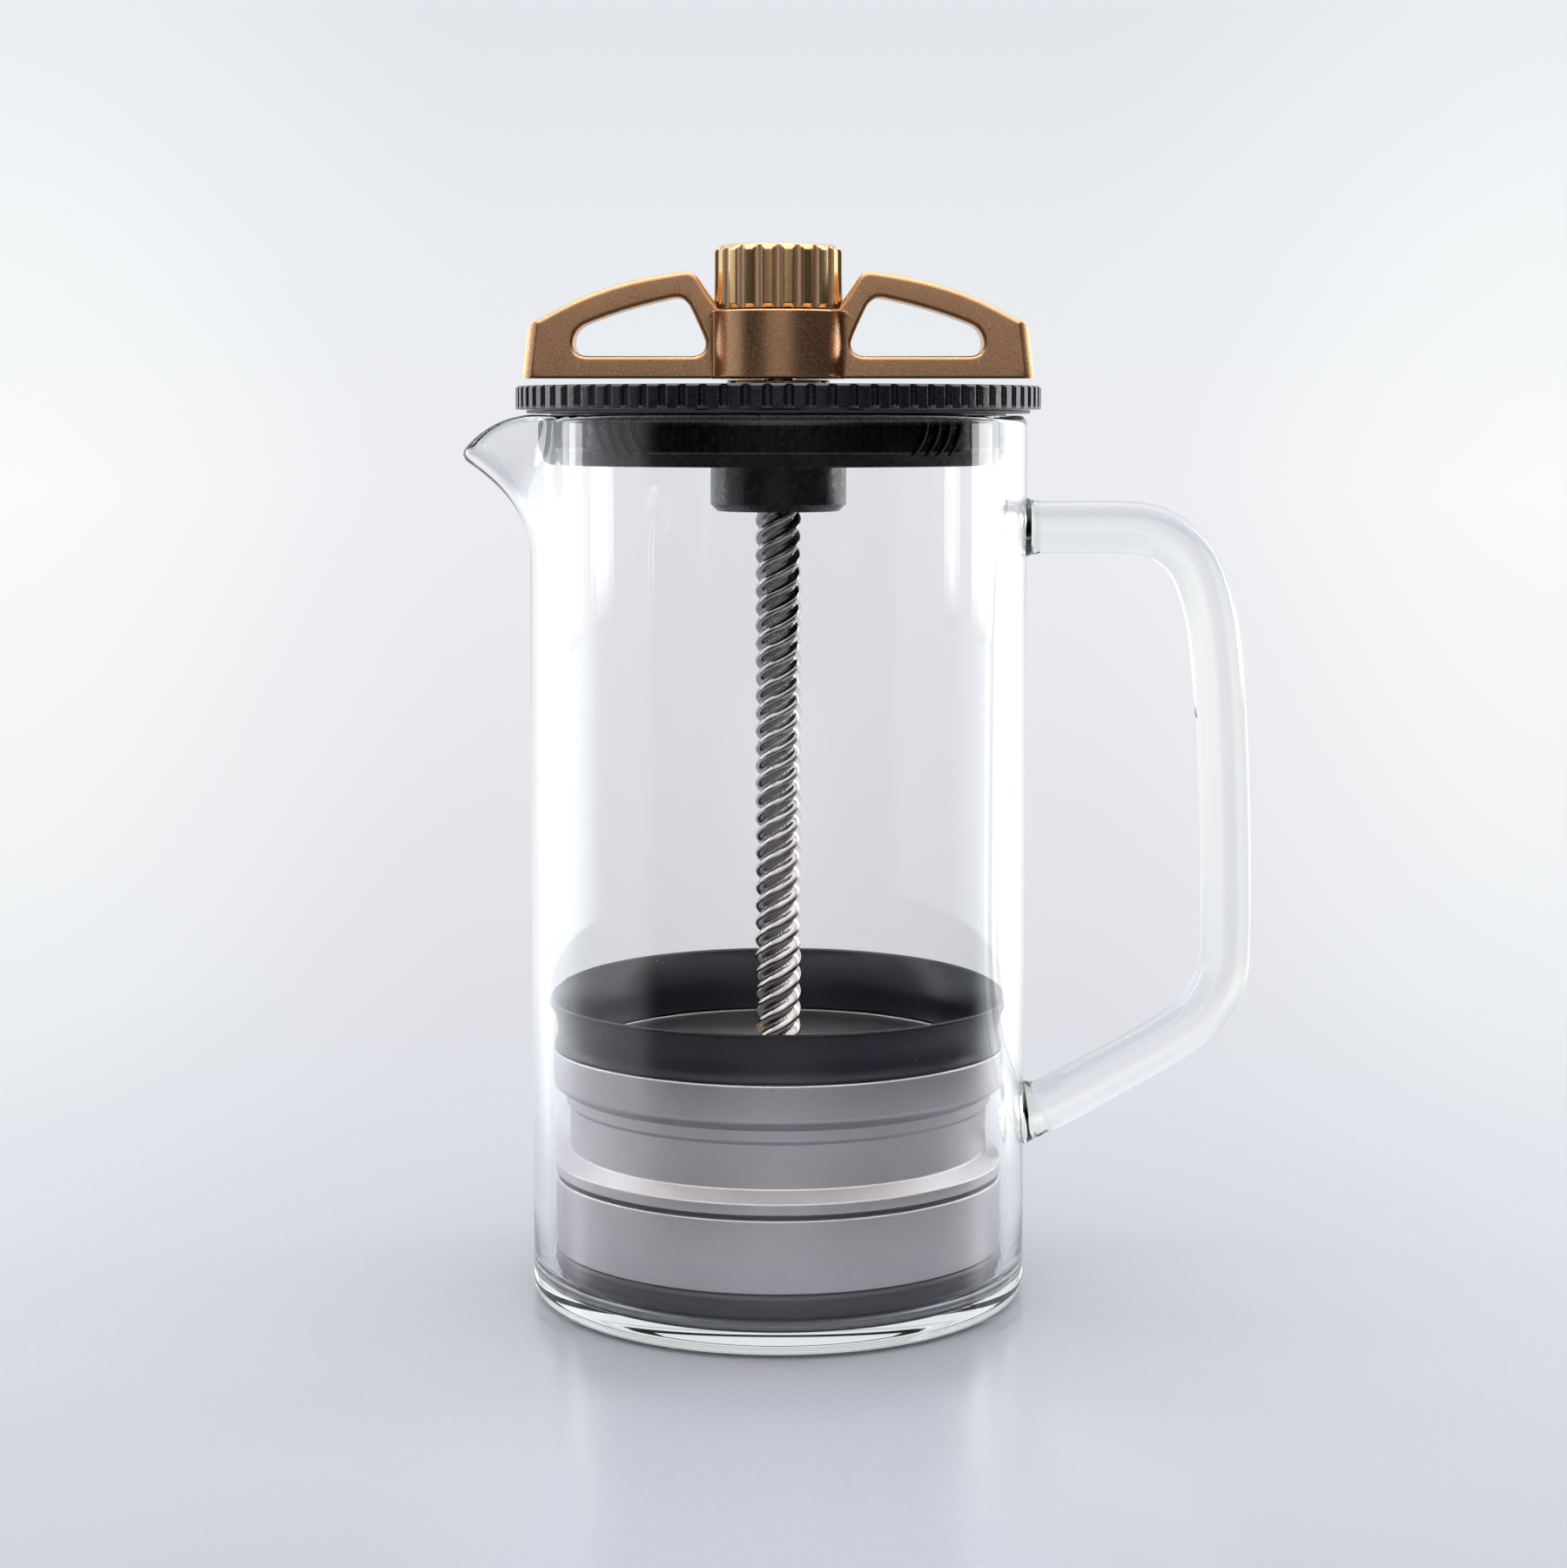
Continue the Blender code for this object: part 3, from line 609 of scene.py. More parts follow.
# =====================================================================
# Lid
# =====================================================================
def make_gasket():
    """Dark silicone with a pale line painted along its outer top edge as a painted highlight."""
    m = Mat("gasket_silicone", (0.02, 0.022, 0.026), 0.34, 0.0, 1.45, 0.4)
    rad, s = m.radius()
    # a pale line painted along the outer top edge: a painted highlight
    painted_edge_highlight = m.math("MULTIPLY", m.ramp(rad, 0.04525, 0.04542), m.ramp(s.outputs[2], 0.16055, 0.16070))
    cloud = m.ramp(m.noise(90.0, 2.0, 0.5), 0.3, 0.7, 0.5, 1.0)
    m.set("Base Color", m.mix(m.math("MULTIPLY", painted_edge_highlight, cloud), (0.02, 0.022, 0.026, 1.0), (0.26, 0.27, 0.30, 1.0)))
    m.set("Roughness", m.ramp(m.noise(1500.0, 2.0), 0.3, 0.7, 0.28, 0.40))
    m.bump(m.noise(1800.0, 2.0, 0.5), 0.000004)
    return m.m


piece("gasket_ring", lathe("gasket_ring", rounded(
    [(45.5, 160.95, 0.2), (45.6, 160.4, 0.25), (42.6, 160.36, 0.1), (41.7, 160.5, 0.1), (41.7, 160.95, 0.1)],
    seg=4), 180), make_gasket(), "gasket", ["lid_gasket"])

# cap: 82 round-bottomed grooves in the edge
CAP_N, CAP_R = 82, 47.45
pitch = TAU / CAP_N
half_groove = np.array([0.0, 0.18, 0.32, 0.42, 0.51, 0.59, 0.67, 0.75, 0.83, 0.90, 0.96])
offsets = np.concatenate([-half_groove[:0:-1], half_groove, [1.25, 1.82, 2.38]])
cap_angles = np.concatenate([-math.pi / 2 + (i + 0.5) * pitch + offsets / CAP_R for i in range(CAP_N)])


def cap_groove(r, a, z):
    k = (a + math.pi / 2) / pitch - 0.5
    u = (k - np.round(k)) * pitch * CAP_R
    over = 1.5 * np.maximum(0.0, np.maximum(z - 164.75, 161.75 - z))
    depth = 0.68 * (1.0 - smoothstep(np.sqrt(u * u + over * over), 0.34, 0.96))
    return np.where(r > 45.9, np.minimum(r, CAP_R - depth), r), a, z


cap_prof = rounded([(47.0, 165.3, 0.3), (47.45, 164.95, 0.3), (47.45, 161.1, 0.2), (46.2, 161.1, 0.1),
                    (46.0, 161.35, 0.1), (5.0, 161.35, 0.1), (4.9, 165.0, 0.15), (5.4, 165.3, 0.1),
                    (9.9, 165.3, 0.1), (10.2, 165.1, 0.1), (10.6, 165.1, 0.1), (10.9, 165.3, 0.1),
                    (44.2, 165.3, 0.1), (44.45, 165.12, 0.1), (44.7, 165.3, 0.1)], seg=4)
rows = []
for a, b in zip(cap_prof, cap_prof[1:] + cap_prof[:1]):
    rows.append(a)
    if a[0] > 47.3 and b[0] > 47.3 and a[1] - b[1] > 0.5:
        n = 26
        rows += [(a[0] + (b[0] - a[0]) * i / n, a[1] + (b[1] - a[1]) * i / n) for i in range(1, n)]
cap = lathe("cap_disc", rows, cap_angles, shape=cap_groove, angle=34.0)
piece("cap_disc", cap, CAPMAT, "lid", ["lid_cap"])


# plug: curved pouring slots and recessed side panels, front and back alike
def plug_shape(r, a, z):
    t = np.degrees((a + math.pi / 2 + math.pi) % TAU - math.pi)
    t = np.where(np.abs(t) > 90, 180 - np.abs(t), np.abs(t))
    inward = np.zeros_like(r)
    s = np.clip((159.35 - z) / 6.1, 0.0, 1.0)
    for k in range(4):
        centre = (36.1, 39.95, 43.6, 47.4)[k] - 3.4 * s ** 2.1
        wide = 0.95 * np.sqrt(np.clip(1.0 - s ** 3.2, 0.0, 1.0)) * smoothstep(s, -0.02, 0.10) + 0.14
        d = np.abs(t - centre) - wide
        inward = np.maximum(inward, 1.5 * (1.0 - smoothstep(d, -0.10, 0.16)) * (z < 159.5) * (z > 153.15))
    panel = smoothstep(t, 51.0, 51.4) * (1 - smoothstep(t, 65.6, 66.0))
    panel *= smoothstep(z, 154.35, 154.5) * (1 - smoothstep(z, 159.6, 159.75))
    inward = np.maximum(inward, 0.35 * panel)
    return r - inward * (r > 40.0), a, z


fine_deg = list(np.arange(31.0, 50.0, 0.2)) + list(np.arange(50.0, 67.0, 0.5))
coarse = [t for t in np.arange(0.0, 90.0, 2.0) if t < 31.0 or t > 67.0]
quarter = sorted(set(coarse + fine_deg))
degs = sorted(set([round(v, 3) for q in quarter for v in (q - 90, -q - 90, 90 - q, 90 + q)] + [0.0, 180.0]))
degs = sorted(set([round(v % 360, 3) for v in degs]))
plug_prof = rounded([(41.2, 160.8, 0.15), (41.2, 153.7, 0.35), (39.5, 151.2, 0.3), (13.2, 151.2, 0.2),
                     (12.8, 151.4, 0.1), (12.8, 153.0, 0.2), (38.9, 153.0, 0.6), (38.9, 160.8, 0.1)], seg=4)
rows = []
for a, b in zip(plug_prof, plug_prof[1:] + plug_prof[:1]):
    rows.append(a)
    if a[0] > 40.0 and a[1] - b[1] > 1.0:
        n = int((a[1] - b[1]) / 0.13)
        rows += [(a[0] + (b[0] - a[0]) * i / n, a[1] + (b[1] - a[1]) * i / n) for i in range(1, n)]
plug = lathe("strainer_plug", rows, np.radians(degs), shape=plug_shape, angle=34.0)


def make_plug_material():
    m = Mat("plug_plastic", (0.003, 0.003, 0.0045), 0.22, 0.0, 1.5, 0.22)
    m.set("Sheen Weight", 0.04)
    m.set("Sheen Roughness", 0.3)
    m.set("Sheen Tint", (0.80, 0.90, 1.0, 1.0))
    s = m.node("ShaderNodeSeparateXYZ")
    m.put(s, 0, m.pos)
    ax = m.math("ABSOLUTE", s.outputs[0])
    ay = m.math("ABSOLUTE", s.outputs[1])
    deg = m.math("MULTIPLY", m.math("ARCTAN2", ax, ay), 180 / math.pi)
    band = m.math("MULTIPLY", m.ramp(deg, 50.9, 51.3), m.ramp(deg, 66.1, 65.7))
    band = m.math("MULTIPLY", band, m.math("MULTIPLY", m.ramp(s.outputs[2], 0.1543, 0.1545),
                                           m.ramp(s.outputs[2], 0.1598, 0.1596)))
    grain = m.noise(3000.0, 3.0, 0.6)
    rad, _ = m.radius()
    # pale lines painted on the slot walls: painted rim highlights
    slot_rim_highlight = m.math("MULTIPLY", m.ramp(rad, 0.041195, 0.04116), m.ramp(rad, 0.0408, 0.0409))
    slot_rim_highlight = m.math("MULTIPLY", slot_rim_highlight, m.math("MULTIPLY", m.ramp(deg, 50.5, 50.0), m.ramp(s.outputs[2], 0.1534, 0.1538)))
    slot_rim_highlight = m.math("MULTIPLY", slot_rim_highlight, m.ramp(s.outputs[2], 0.1594, 0.1592))
    panel_tone_and_painted_shade = m.mix(band, (0.003, 0.003, 0.0045, 1.0), (0.05, 0.05, 0.056, 1.0))
    m.set("Base Color", m.mix(slot_rim_highlight, panel_tone_and_painted_shade, (0.16, 0.175, 0.20, 1.0)))
    m.set("Roughness", m.math("ADD", m.ramp(m.noise(700.0), 0.3, 0.7, 0.22, 0.32),
                              m.math("MULTIPLY", band, 0.25)))
    m.bump(m.math("MULTIPLY", grain, m.ramp(band, 0.0, 1.0, 0.12, 1.0)), 0.00004)
    return m.m


piece("strainer_plug", plug, make_plug_material(), "lid", ["lid_plug"])

housing = lathe("nut_boss", rounded(
    [(18.8, 160.6, 0.2), (18.8, 158.4, 0.2), (12.3, 158.4, 0.5), (12.3, 144.05, 0.2), (11.05, 142.8, 0.25),
     (5.3, 142.8, 0.3), (4.9, 143.2, 0.2), (4.9, 144.6, 0.1), (8.0, 144.6, 0.1), (8.0, 160.6, 0.1)], seg=4), 128)
piece("nut_boss", housing, HOUSING, "lid", ["nut_housing"])

LEAD, CREST, ROOT, PHASE = 12.8, 4.2, 3.15, 0.3


def thread_r(a, z):
    """Radius of the rounded four-start thread at angle a (from +X) and height z."""
    c = np.cos(2.0 * (a - TAU * (z - PHASE) / LEAD))
    s0 = math.sqrt(0.03)
    s = (np.sqrt(c * c + 0.03) - s0) / (math.sqrt(1.03) - s0)
    return ROOT + (CREST - ROOT) * s


def nut_bore(r, a, z):
    return np.where(r < 5.0, thread_r(a, z) + 0.45, r), a, z


nut_rows = rounded([(7.25, 160.2, 0.1), (7.6, 159.85, 0.1), (7.6, 145.35, 0.1), (7.25, 145.0, 0.1)], seg=3, closed=False)
nut_rows = nut_rows + [(4.0, 145.0 + 15.2 * i / 60) for i in range(61)]
piece("drive_nut_fine", lathe("drive_nut_fine", nut_rows, 96, shape=nut_bore), BRASS, "lid", ["drive_nut"])


def hex_hole(limit, half, side):
    def shape(r, a, z):
        k = np.cos(((a + math.pi / 6) % (math.pi / 3)) - math.pi / 6)
        inside = (r < limit) & (z < side) if half > 0 else (r < limit) & (z > side)
        return np.where(inside & (r > 1e-6), r / k, r), a, z
    return shape


def cap_screw(name, x, y, prof, limit, side, mat_, body, node, sides=48):
    me = lathe(name, prof, sides, closed=False, shape=hex_hole(limit, 1, side))
    for v in me.vertices:
        v.co.x += x * MM
        v.co.y += y * MM
    return piece(name, me, mat_, body, [node])


for i in range(3):
    a = math.radians(90 + 120 * i)
    prof = [(0.0, 163.7)] + rounded([(0.0, 163.7), (1.2, 163.7, 0.2), (1.2, 158.1, 0.1), (2.6, 158.1, 0.2),
                                     (2.6, 156.5, 0.2), (2.1, 155.9, 0.3), (1.06, 155.9, 0.05),
                                     (1.06, 157.2, 0.0), (0.0, 157.2)], closed=False, seg=3)[1:]
    cap_screw(f"nut_screw_fine_{i + 1}", 15.6 * math.cos(a), 15.6 * math.sin(a), prof, 1.1, 157.25,
              STEEL, "lid", f"nut_screw_{i + 1}")

# =====================================================================
# Spindle
# =====================================================================
screw_rows = [("o", 1.6, 41.2), ("o", 2.5, 41.2), ("o", 2.6, 41.3), ("o", 2.6, 44.4), ("o", 3.0, 45.0)]
screw_rows += [("t", 0.0, 45.0 + 120.3 * i / 400) for i in range(401)]
screw_rows += [("o", 3.4, 165.3), ("o", 3.4, 167.0), ("s", 3.0, 167.0), ("s", 3.0, 178.6), ("o", 2.5, 178.6),
               ("o", 2.5, 185.9), ("o", 2.2, 186.2), ("o", 0.0, 186.2)]
N = 112
ang = np.arange(N) * TAU / N
v = []
for kind, r, z in screw_rows:
    if kind == "t":
        rr = thread_r(ang, z)
        lead_in = np.clip((z - 45.0) / 1.2, 0.0, 1.0)
        rr = np.minimum(rr, 3.3 + 0.9 * lead_in)
    elif kind == "s":
        rr = r / np.maximum(np.abs(np.cos(ang)), np.abs(np.sin(ang)))
    else:
        rr = np.full(N, r)
    v.append(np.stack([rr * np.cos(ang), rr * np.sin(ang), np.full(N, z)], -1))
v = [np.stack([1.6 * np.cos(ang), 1.6 * np.sin(ang), np.full(N, 46.9)], -1),
     ] + v
v = [np.stack([0 * ang, 0 * ang, np.full(N, 47.0)], -1)] + v
v = np.array(v) * MM
piece("lead_screw_fine", to_mesh("lead_screw_fine", v.reshape(-1, 3), grid(v, False), 40.0),
      STEEL, "spindle", ["lead_screw"])

# winged handle
HUB_R, HZ0, HZ1 = 12.4, 166.7, 178.9
wing_side = [(11.6, 166.75), (46.17, 166.75, 0.6), (45.1, 175.5, None), (44.3, 176.75, None), (42.6, 177.55, None),
             (36.3, 180.95, None), (29.9, 183.3, None), (23.5, 184.9, None), (17.2, 185.85, None),
             (15.6, 185.8, None), (14.6, 185.0, None), (12.5, 181.85, None), (10.9, 179.75, None),
             (9.9, 178.95, None), (8.6, 178.7, 0)]
outline = wing_side + [(-p[0], p[1]) + tuple(p[2:]) for p in reversed(wing_side)]
outline = split(rounded(outline, seg=8, default=0), 1.2)
window = [(36.95, 172.6, None), (36.65, 174.7, None), (35.3, 176.2, None), (30.5, 178.1, None), (24.5, 179.9, None),
          (18.6, 181.25, None), (17.3, 181.15, None), (16.2, 180.2, None), (14.9, 177.6, None), (13.4, 174.2, None),
          (13.05, 172.9, None), (13.4, 171.4, None), (14.8, 170.7, None), (34.9, 170.7, None), (36.35, 171.2, None)]
window_r = split(rounded(window, seg=8), 1.0)
window_l = [(-x, z) for x, z in reversed(window_r)]
radii = np.array([0.45 if z < 167.4 or abs(x) > 45.0 else 0.8 if z > 184.0 and abs(x) < 17.6 else 0.95
                  for x, z in outline])
for _ in range(6):
    radii = 0.25 * np.roll(radii, 1) + 0.5 * radii + 0.25 * np.roll(radii, -1)
bar = ring_solid("wings", [(outline, 1, radii), (window_r, -1, 0.75), (window_l, -1, 0.75)], -4.5, 4.5, "Y")


def soft_ends(me, radius=1.9, bite=1.75):
    """Rounds the four upright corners of the wings, following the slight lean of their ends."""
    bm = bmesh.new()
    bm.from_mesh(me)
    (x0, z0), (x1, z1) = (46.17, 166.75), (45.1, 175.5)
    k = math.hypot(x1 - x0, z1 - z0)
    nx, nz = (z1 - z0) / k, (x0 - x1) / k
    for side in (1, -1):
        for i in range(1, 11):
            d = radius * (1.0 - math.cos(0.5 * math.pi * i / 10))
            bmesh.ops.bisect_plane(bm, geom=bm.verts[:] + bm.edges[:] + bm.faces[:], dist=1e-7,
                                   plane_co=(side * (x0 - nx * d) * MM, 0.0, (z0 - nz * d) * MM),
                                   plane_no=(side * nx, 0.0, nz))
    for v in bm.verts:
        d = (x0 - abs(v.co.x) / MM) * nx + (z0 - v.co.z / MM) * nz
        if d < radius:
            d = max(0.0, d)
            h = (4.5 - bite * (1.0 - d / radius) ** 1.35) * MM
            v.co.y = max(-h, min(h, v.co.y))
    bmesh.ops.remove_doubles(bm, verts=bm.verts, dist=1e-6)
    bmesh.ops.dissolve_degenerate(bm, dist=1e-7, edges=bm.edges)
    bm.to_mesh(me)
    bm.free()
    shade(me, 32.0)
    return me


# hub in plan: a round boss that flows into the bar through small fillets
fil, yb = 1.0, 4.45
cx = math.sqrt((HUB_R + fil) ** 2 - (yb + fil) ** 2)
a0 = math.atan2(-(yb + fil), cx)
quarter_pts = []
for i in range(9):
    t = math.pi / 2 + (a0 + math.pi - math.pi / 2) * i / 8
    quarter_pts.append((cx + fil * math.cos(t), -(yb + fil) + fil * math.sin(t)))
arc = [(HUB_R * math.cos(a0 + (-math.pi / 2 - a0) * i / 30), HUB_R * math.sin(a0 + (-math.pi / 2 - a0) * i / 30))
       for i in range(1, 31)]
front = quarter_pts + arc
front = front + [(-x, y) for x, y in reversed(front[:-1])]
plan = front + [(x, -y) for x, y in reversed(front)]
plan = list(reversed(plan))
hub = ring_solid("hub", [(plan, 1, 0.4)], HZ0, HZ1, "Z")
bar = combine(soft_ends(bar), [("UNION", hub)])
bar = combine(bar, [("DIFFERENCE", pillars("seat", [(0, 0, HZ1 - 0.05, 200, 11.95)], 120))])
wings = piece("winged_handle", bar, BRONZE, "spindle", ["wing_handle"])
wn = wings.modifiers.new("Normals", "WEIGHTED_NORMAL")
wn.keep_sharp = True

# knob
FL = 20
kp = TAU / FL
koff = np.array([-1.12, -1.06, -1.0, -0.92, -0.8, -0.62, -0.33, 0.0, 0.33, 0.62, 0.8, 0.92, 1.0, 1.06, 1.12,
                 1.45, 1.822, 2.19])
knob_angles = np.concatenate([-math.pi / 2 + i * kp + koff / 11.6 for i in range(FL)])


def knob_flute(r, a, z):
    """Straight round-bottomed flutes that run out through the rounded top and bottom edges."""
    k = (a + math.pi / 2) / kp
    u = (k - np.round(k)) * kp * 11.6
    depth = np.maximum(0.0, np.sqrt(np.maximum(0.0, 1.16 ** 2 - u * u)) - 0.40)
    return np.where(r > 10.0, np.minimum(r, 11.6 - depth), r), a, z


knob_prof = rounded([(0.0, 190.35), (8.9, 190.35, 0.3), (9.3, 190.58, 0.2), (10.6, 190.58, 1.0), (11.6, 189.6, 0.8),
                     (11.6, 179.95, 0.35), (11.15, 179.4, 0.2), (11.0, 179.2, 0.12), (2.9, 179.2, 0.1),
                     (2.9, 187.2, 0.1), (0.0, 187.2)], closed=False, seg=10)
rows = []
for a, b in zip(knob_prof, knob_prof[1:]):
    rows.append(a)
    if a[0] > 11.5 and a[1] - b[1] > 2.0:
        n = 44
        rows += [(a[0], a[1] + (b[1] - a[1]) * i / n) for i in range(1, n)]
rows.append(knob_prof[-1])


def make_knob_brass():
    """Satin brass: the lands are smoother and the flutes rougher; the flutes are painted lighter and browner than the
    greener lands, as painted light.
    """
    m = Mat("knob_brass", (0.60, 0.41, 0.22), 0.26, 1.0)
    s = m.node("ShaderNodeSeparateXYZ")
    m.put(s, 0, m.pos)
    turn = m.math("ARCTAN2", s.outputs[1], s.outputs[0])
    wave = m.math("COSINE", m.math("MULTIPLY", m.math("ADD", turn, math.pi / 2), FL))
    rad, _ = m.radius()
    flute = m.math("MULTIPLY", m.ramp(wave, 0.0, 0.3), m.ramp(rad, 0.01158, 0.01146))
    fine = m.noise(5200.0, 2.0, 0.6)
    broad = m.noise(160.0, 3.0, 0.6)
    land = m.mix(m.ramp(broad, 0.35, 0.65), (0.54, 0.37, 0.175, 1.0), (0.63, 0.44, 0.21, 1.0))
    # the flutes are painted lighter and browner than the lands: painted light
    lit_flute_tone = m.mix(m.ramp(fine, 0.3, 0.7), (0.54, 0.35, 0.21, 1.0), (0.67, 0.44, 0.275, 1.0))
    spots = m.ramp(m.noise(2600.0, 1.0), 0.70, 0.77)
    base = m.mix(flute, land, lit_flute_tone)
    m.set("Base Color", m.mix(spots, base, (0.92, 0.74, 0.48, 1.0)))
    m.set("Roughness", m.math("ADD", m.ramp(fine, 0.3, 0.7, 0.18, 0.27), m.math("MULTIPLY", flute, 0.13)))
    m.bump(fine, 0.0000018)
    return m.m


piece("fluted_knob", lathe("fluted_knob", rows, knob_angles, closed=False, shape=knob_flute, angle=36.0),
      make_knob_brass(), "spindle", ["top_knob"])


def collar_slots(r, a, z):
    k = (a - math.radians(30)) / (math.pi / 3)
    u = (k - np.round(k)) * (math.pi / 3) * 8.2
    cut = (np.abs(u) < 0.915) & (r > 6.85) & (z > 165.9)
    return r, a, np.where(cut, 165.9, z)


coll_angles = np.concatenate([math.radians(30) + i * math.pi / 3
                              + np.array([-0.93, -0.9, -0.45, 0, 0.45, 0.9, 0.93, 1.5, 2.3, 3.1, 3.9, 4.7, 5.5, 6.3, 7.0])
                              / 8.2 for i in range(6)])
coll = rounded([(9.05, 166.4, 0.15), (9.4, 166.12, 0.1), (9.4, 165.85, 0.1), (9.1, 165.6, 0.1), (4.3, 165.6, 0.1),
                (4.3, 166.4, 0.1), (6.8, 166.4, 0), (6.86, 166.4, 0)], seg=3)
piece("collar_ring", lathe("collar_ring", coll, coll_angles, shape=collar_slots), BRASS, "spindle",
      ["hub_collar"])
piece("foot_washer", lathe("foot_washer", rounded([(7.0, 40.9, 0.15), (7.0, 39.7, 0.15), (1.65, 39.7, 0.1),
                                                   (1.65, 40.9, 0.1)], seg=3), 96),
      make_turned("turned_steel", (0.55, 0.55, 0.55), 0.25), "spindle", ["end_washer"])
end_prof = [(0.0, 46.2)] + rounded([(0.0, 46.2), (1.25, 46.2, 0.2), (1.25, 39.4, 0.1), (4.2, 39.4, 0.2),
                                    (4.2, 37.4, 0.3), (3.4, 36.6, 0.3), (1.65, 36.6, 0.05), (1.65, 38.4, 0),
                                    (0.0, 38.4)], closed=False, seg=3)[1:]
cap_screw("foot_screw", 0, 0, end_prof, 1.7, 38.45, STEEL, "spindle", "spindle_end_screw", 60)

# =====================================================================
# Plunger
# =====================================================================
wiper = rounded([(41.55, 55.3, 0.1), (41.97, 55.12, 0.08), (41.95, 54.85, 0.05), (41.7, 54.7, 0.05), (41.45, 53.9, None), (40.65, 52.0, None),
                 (40.32, 50.0, None), (40.5, 48.0, None), (40.95, 46.95, 0.3), (40.95, 46.65, 0.1),
                 (39.3, 46.6, 0.1), (39.3, 44.1, 0.1), (38.0, 44.1, 0.15), (38.2, 47.5, None), (38.8, 50.5, None),
                 (40.0, 53.7, None), (40.95, 55.05, 0.1)], seg=6)
piece("wiper_skirt", lathe("wiper_skirt", wiper, 192), SILICONE, "plunger", ["wiper_seal"])

plate = lathe("pressure_plate", rounded([(37.55, 43.6, 0.25), (37.6, 42.35, 0.2), (4.85, 42.3, 0.1),
                                         (4.85, 43.6, 0.2)], seg=4), 160)
plate = combine(plate, [("DIFFERENCE", pillars("ports", [
    (10.5 * math.cos(math.radians(45 * i)), 10.5 * math.sin(math.radians(45 * i)), 41.0, 45.0, 1.5)
    for i in range(8)], 32))])
piece("pressure_plate", plate, PLATE, "plunger", ["top_plate"])

upper = rounded([(41.0, 46.4, 0.3), (41.2, 46.1, 0.2), (41.2, 39.9, 1.3), (39.6, 38.6, 0.35), (38.8, 38.05, 0.15),
                 (38.8, 36.2, 0.25), (38.1, 35.4, 0.25), (38.1, 27.7, 0.6), (40.7, 25.75, 0.5), (40.8, 24.0, 0.15),
                 (40.55, 23.78, 0.15), (36.0, 23.78, 0.2), (36.0, 42.0, 0.2), (37.9, 42.0, 0.1), (37.9, 43.8, 0.2),
                 (39.6, 43.8, 0.1), (39.6, 46.4, 0.2)], seg=5)
piece("pod_shell", lathe("pod_shell", upper, 192), SILVER, "plunger", ["pod_upper"])
piece("bush_fine", lathe("bush_fine", rounded([(6.6, 44.6, 0.2), (6.6, 43.9, 0.1), (4.55, 43.9, 0.1), (4.55, 41.2, 0.1),
                                               (2.95, 41.2, 0.1), (2.95, 44.6, 0.2)], seg=3), 96),
      BRASS, "plunger", ["swivel_bush"])
piece("upper_mesh", lathe("upper_mesh", rounded([(35.6, 41.95, 0.1), (35.6, 41.45, 0.1), (7.8, 41.45, 0.1),
                                                 (7.8, 41.95, 0.1)], seg=2), 128),
      MESH, "plunger", ["upper_filter_screen"])
piece("joint_ring", lathe("joint_ring", rounded([(39.8, 23.6, 0.12), (40.0, 23.4, 0.15), (39.8, 23.2, 0.12),
                                                 (37.4, 23.2, 0.1), (37.4, 23.6, 0.1)], seg=3), 160),
      SILICONE, "plunger", ["pod_joint_ring"])

# =====================================================================
# Cup
# =====================================================================
lower = rounded([(40.55, 22.98, 0.15), (40.8, 22.75, 0.15), (40.8, 10.2, 0.2), (38.4, 10.2, 0.1), (38.4, 5.1, 0.3),
                 (33.0, 5.1, 0.3), (33.0, 6.5, 0.1), (36.9, 6.5, 0.1), (36.9, 18.6, 0.3), (34.2, 20.6, 0.3),
                 (34.2, 27.0, 0.3), (35.6, 27.0, 0.3), (35.6, 22.98, 0.1)], seg=5)
piece("pod_base", lathe("pod_base", lower, 192), SILVER, "cup", ["pod_cup"])
piece("lower_mesh", lathe("lower_mesh", [(0.0, 7.2), (36.2, 7.2), (36.4, 7.1), (36.4, 6.9), (36.2, 6.8), (0.0, 6.8)],
                          128, closed=False), MESH, "cup", ["lower_filter_screen"])
piece("retaining_ring", lathe("retaining_ring", rounded([(36.4, 8.7, 0.15), (36.4, 7.5, 0.15), (33.4, 7.5, 0.1),
                                                         (33.4, 8.3, 0.1), (33.8, 8.7, 0.15)], seg=3), 128),
      make_turned("turned_ring", (0.55, 0.55, 0.55), 0.28), "cup", ["screen_retainer"])
foot = rounded([(40.5, 9.9, 0.25), (41.05, 9.3, None), (41.2, 8.1, None), (40.75, 6.1, None), (39.6, 4.4, None),
                (38.0, 3.55, None), (34.2, 3.55, 0.2), (34.2, 4.75, 0.2), (38.75, 4.75, 0.1), (38.75, 9.9, 0.1)], seg=6)
piece("foot_ring", lathe("foot_ring", foot, 192), SILICONE, "cup", ["base_seal"])

# =====================================================================
# Studio: pale floor that fades into the surround, soft boxes at both sides
# =====================================================================
floor_me = bpy.data.meshes.new("floor")
bm = bmesh.new()
bmesh.ops.create_circle(bm, cap_ends=True, segments=128, radius=0.9)
bm.to_mesh(floor_me)
bm.free()
floor = bpy.data.objects.new("floor", floor_me)
SCENE.collection.objects.link(floor)
floor.location = (0.0, 0.0, -0.00015)
fm = Mat("floor_paint", (0.29, 0.305, 0.355), 0.2, 0.0, 1.5, 0.5)
grit = fm.noise(900.0, 2.0)
paint = fm.mix(fm.ramp(grit, 0.3, 0.7), (0.298, 0.315, 0.366, 1.0), (0.310, 0.327, 0.378, 1.0))
fs = fm.node("ShaderNodeSeparateXYZ")
fm.put(fs, 0, fm.pos)
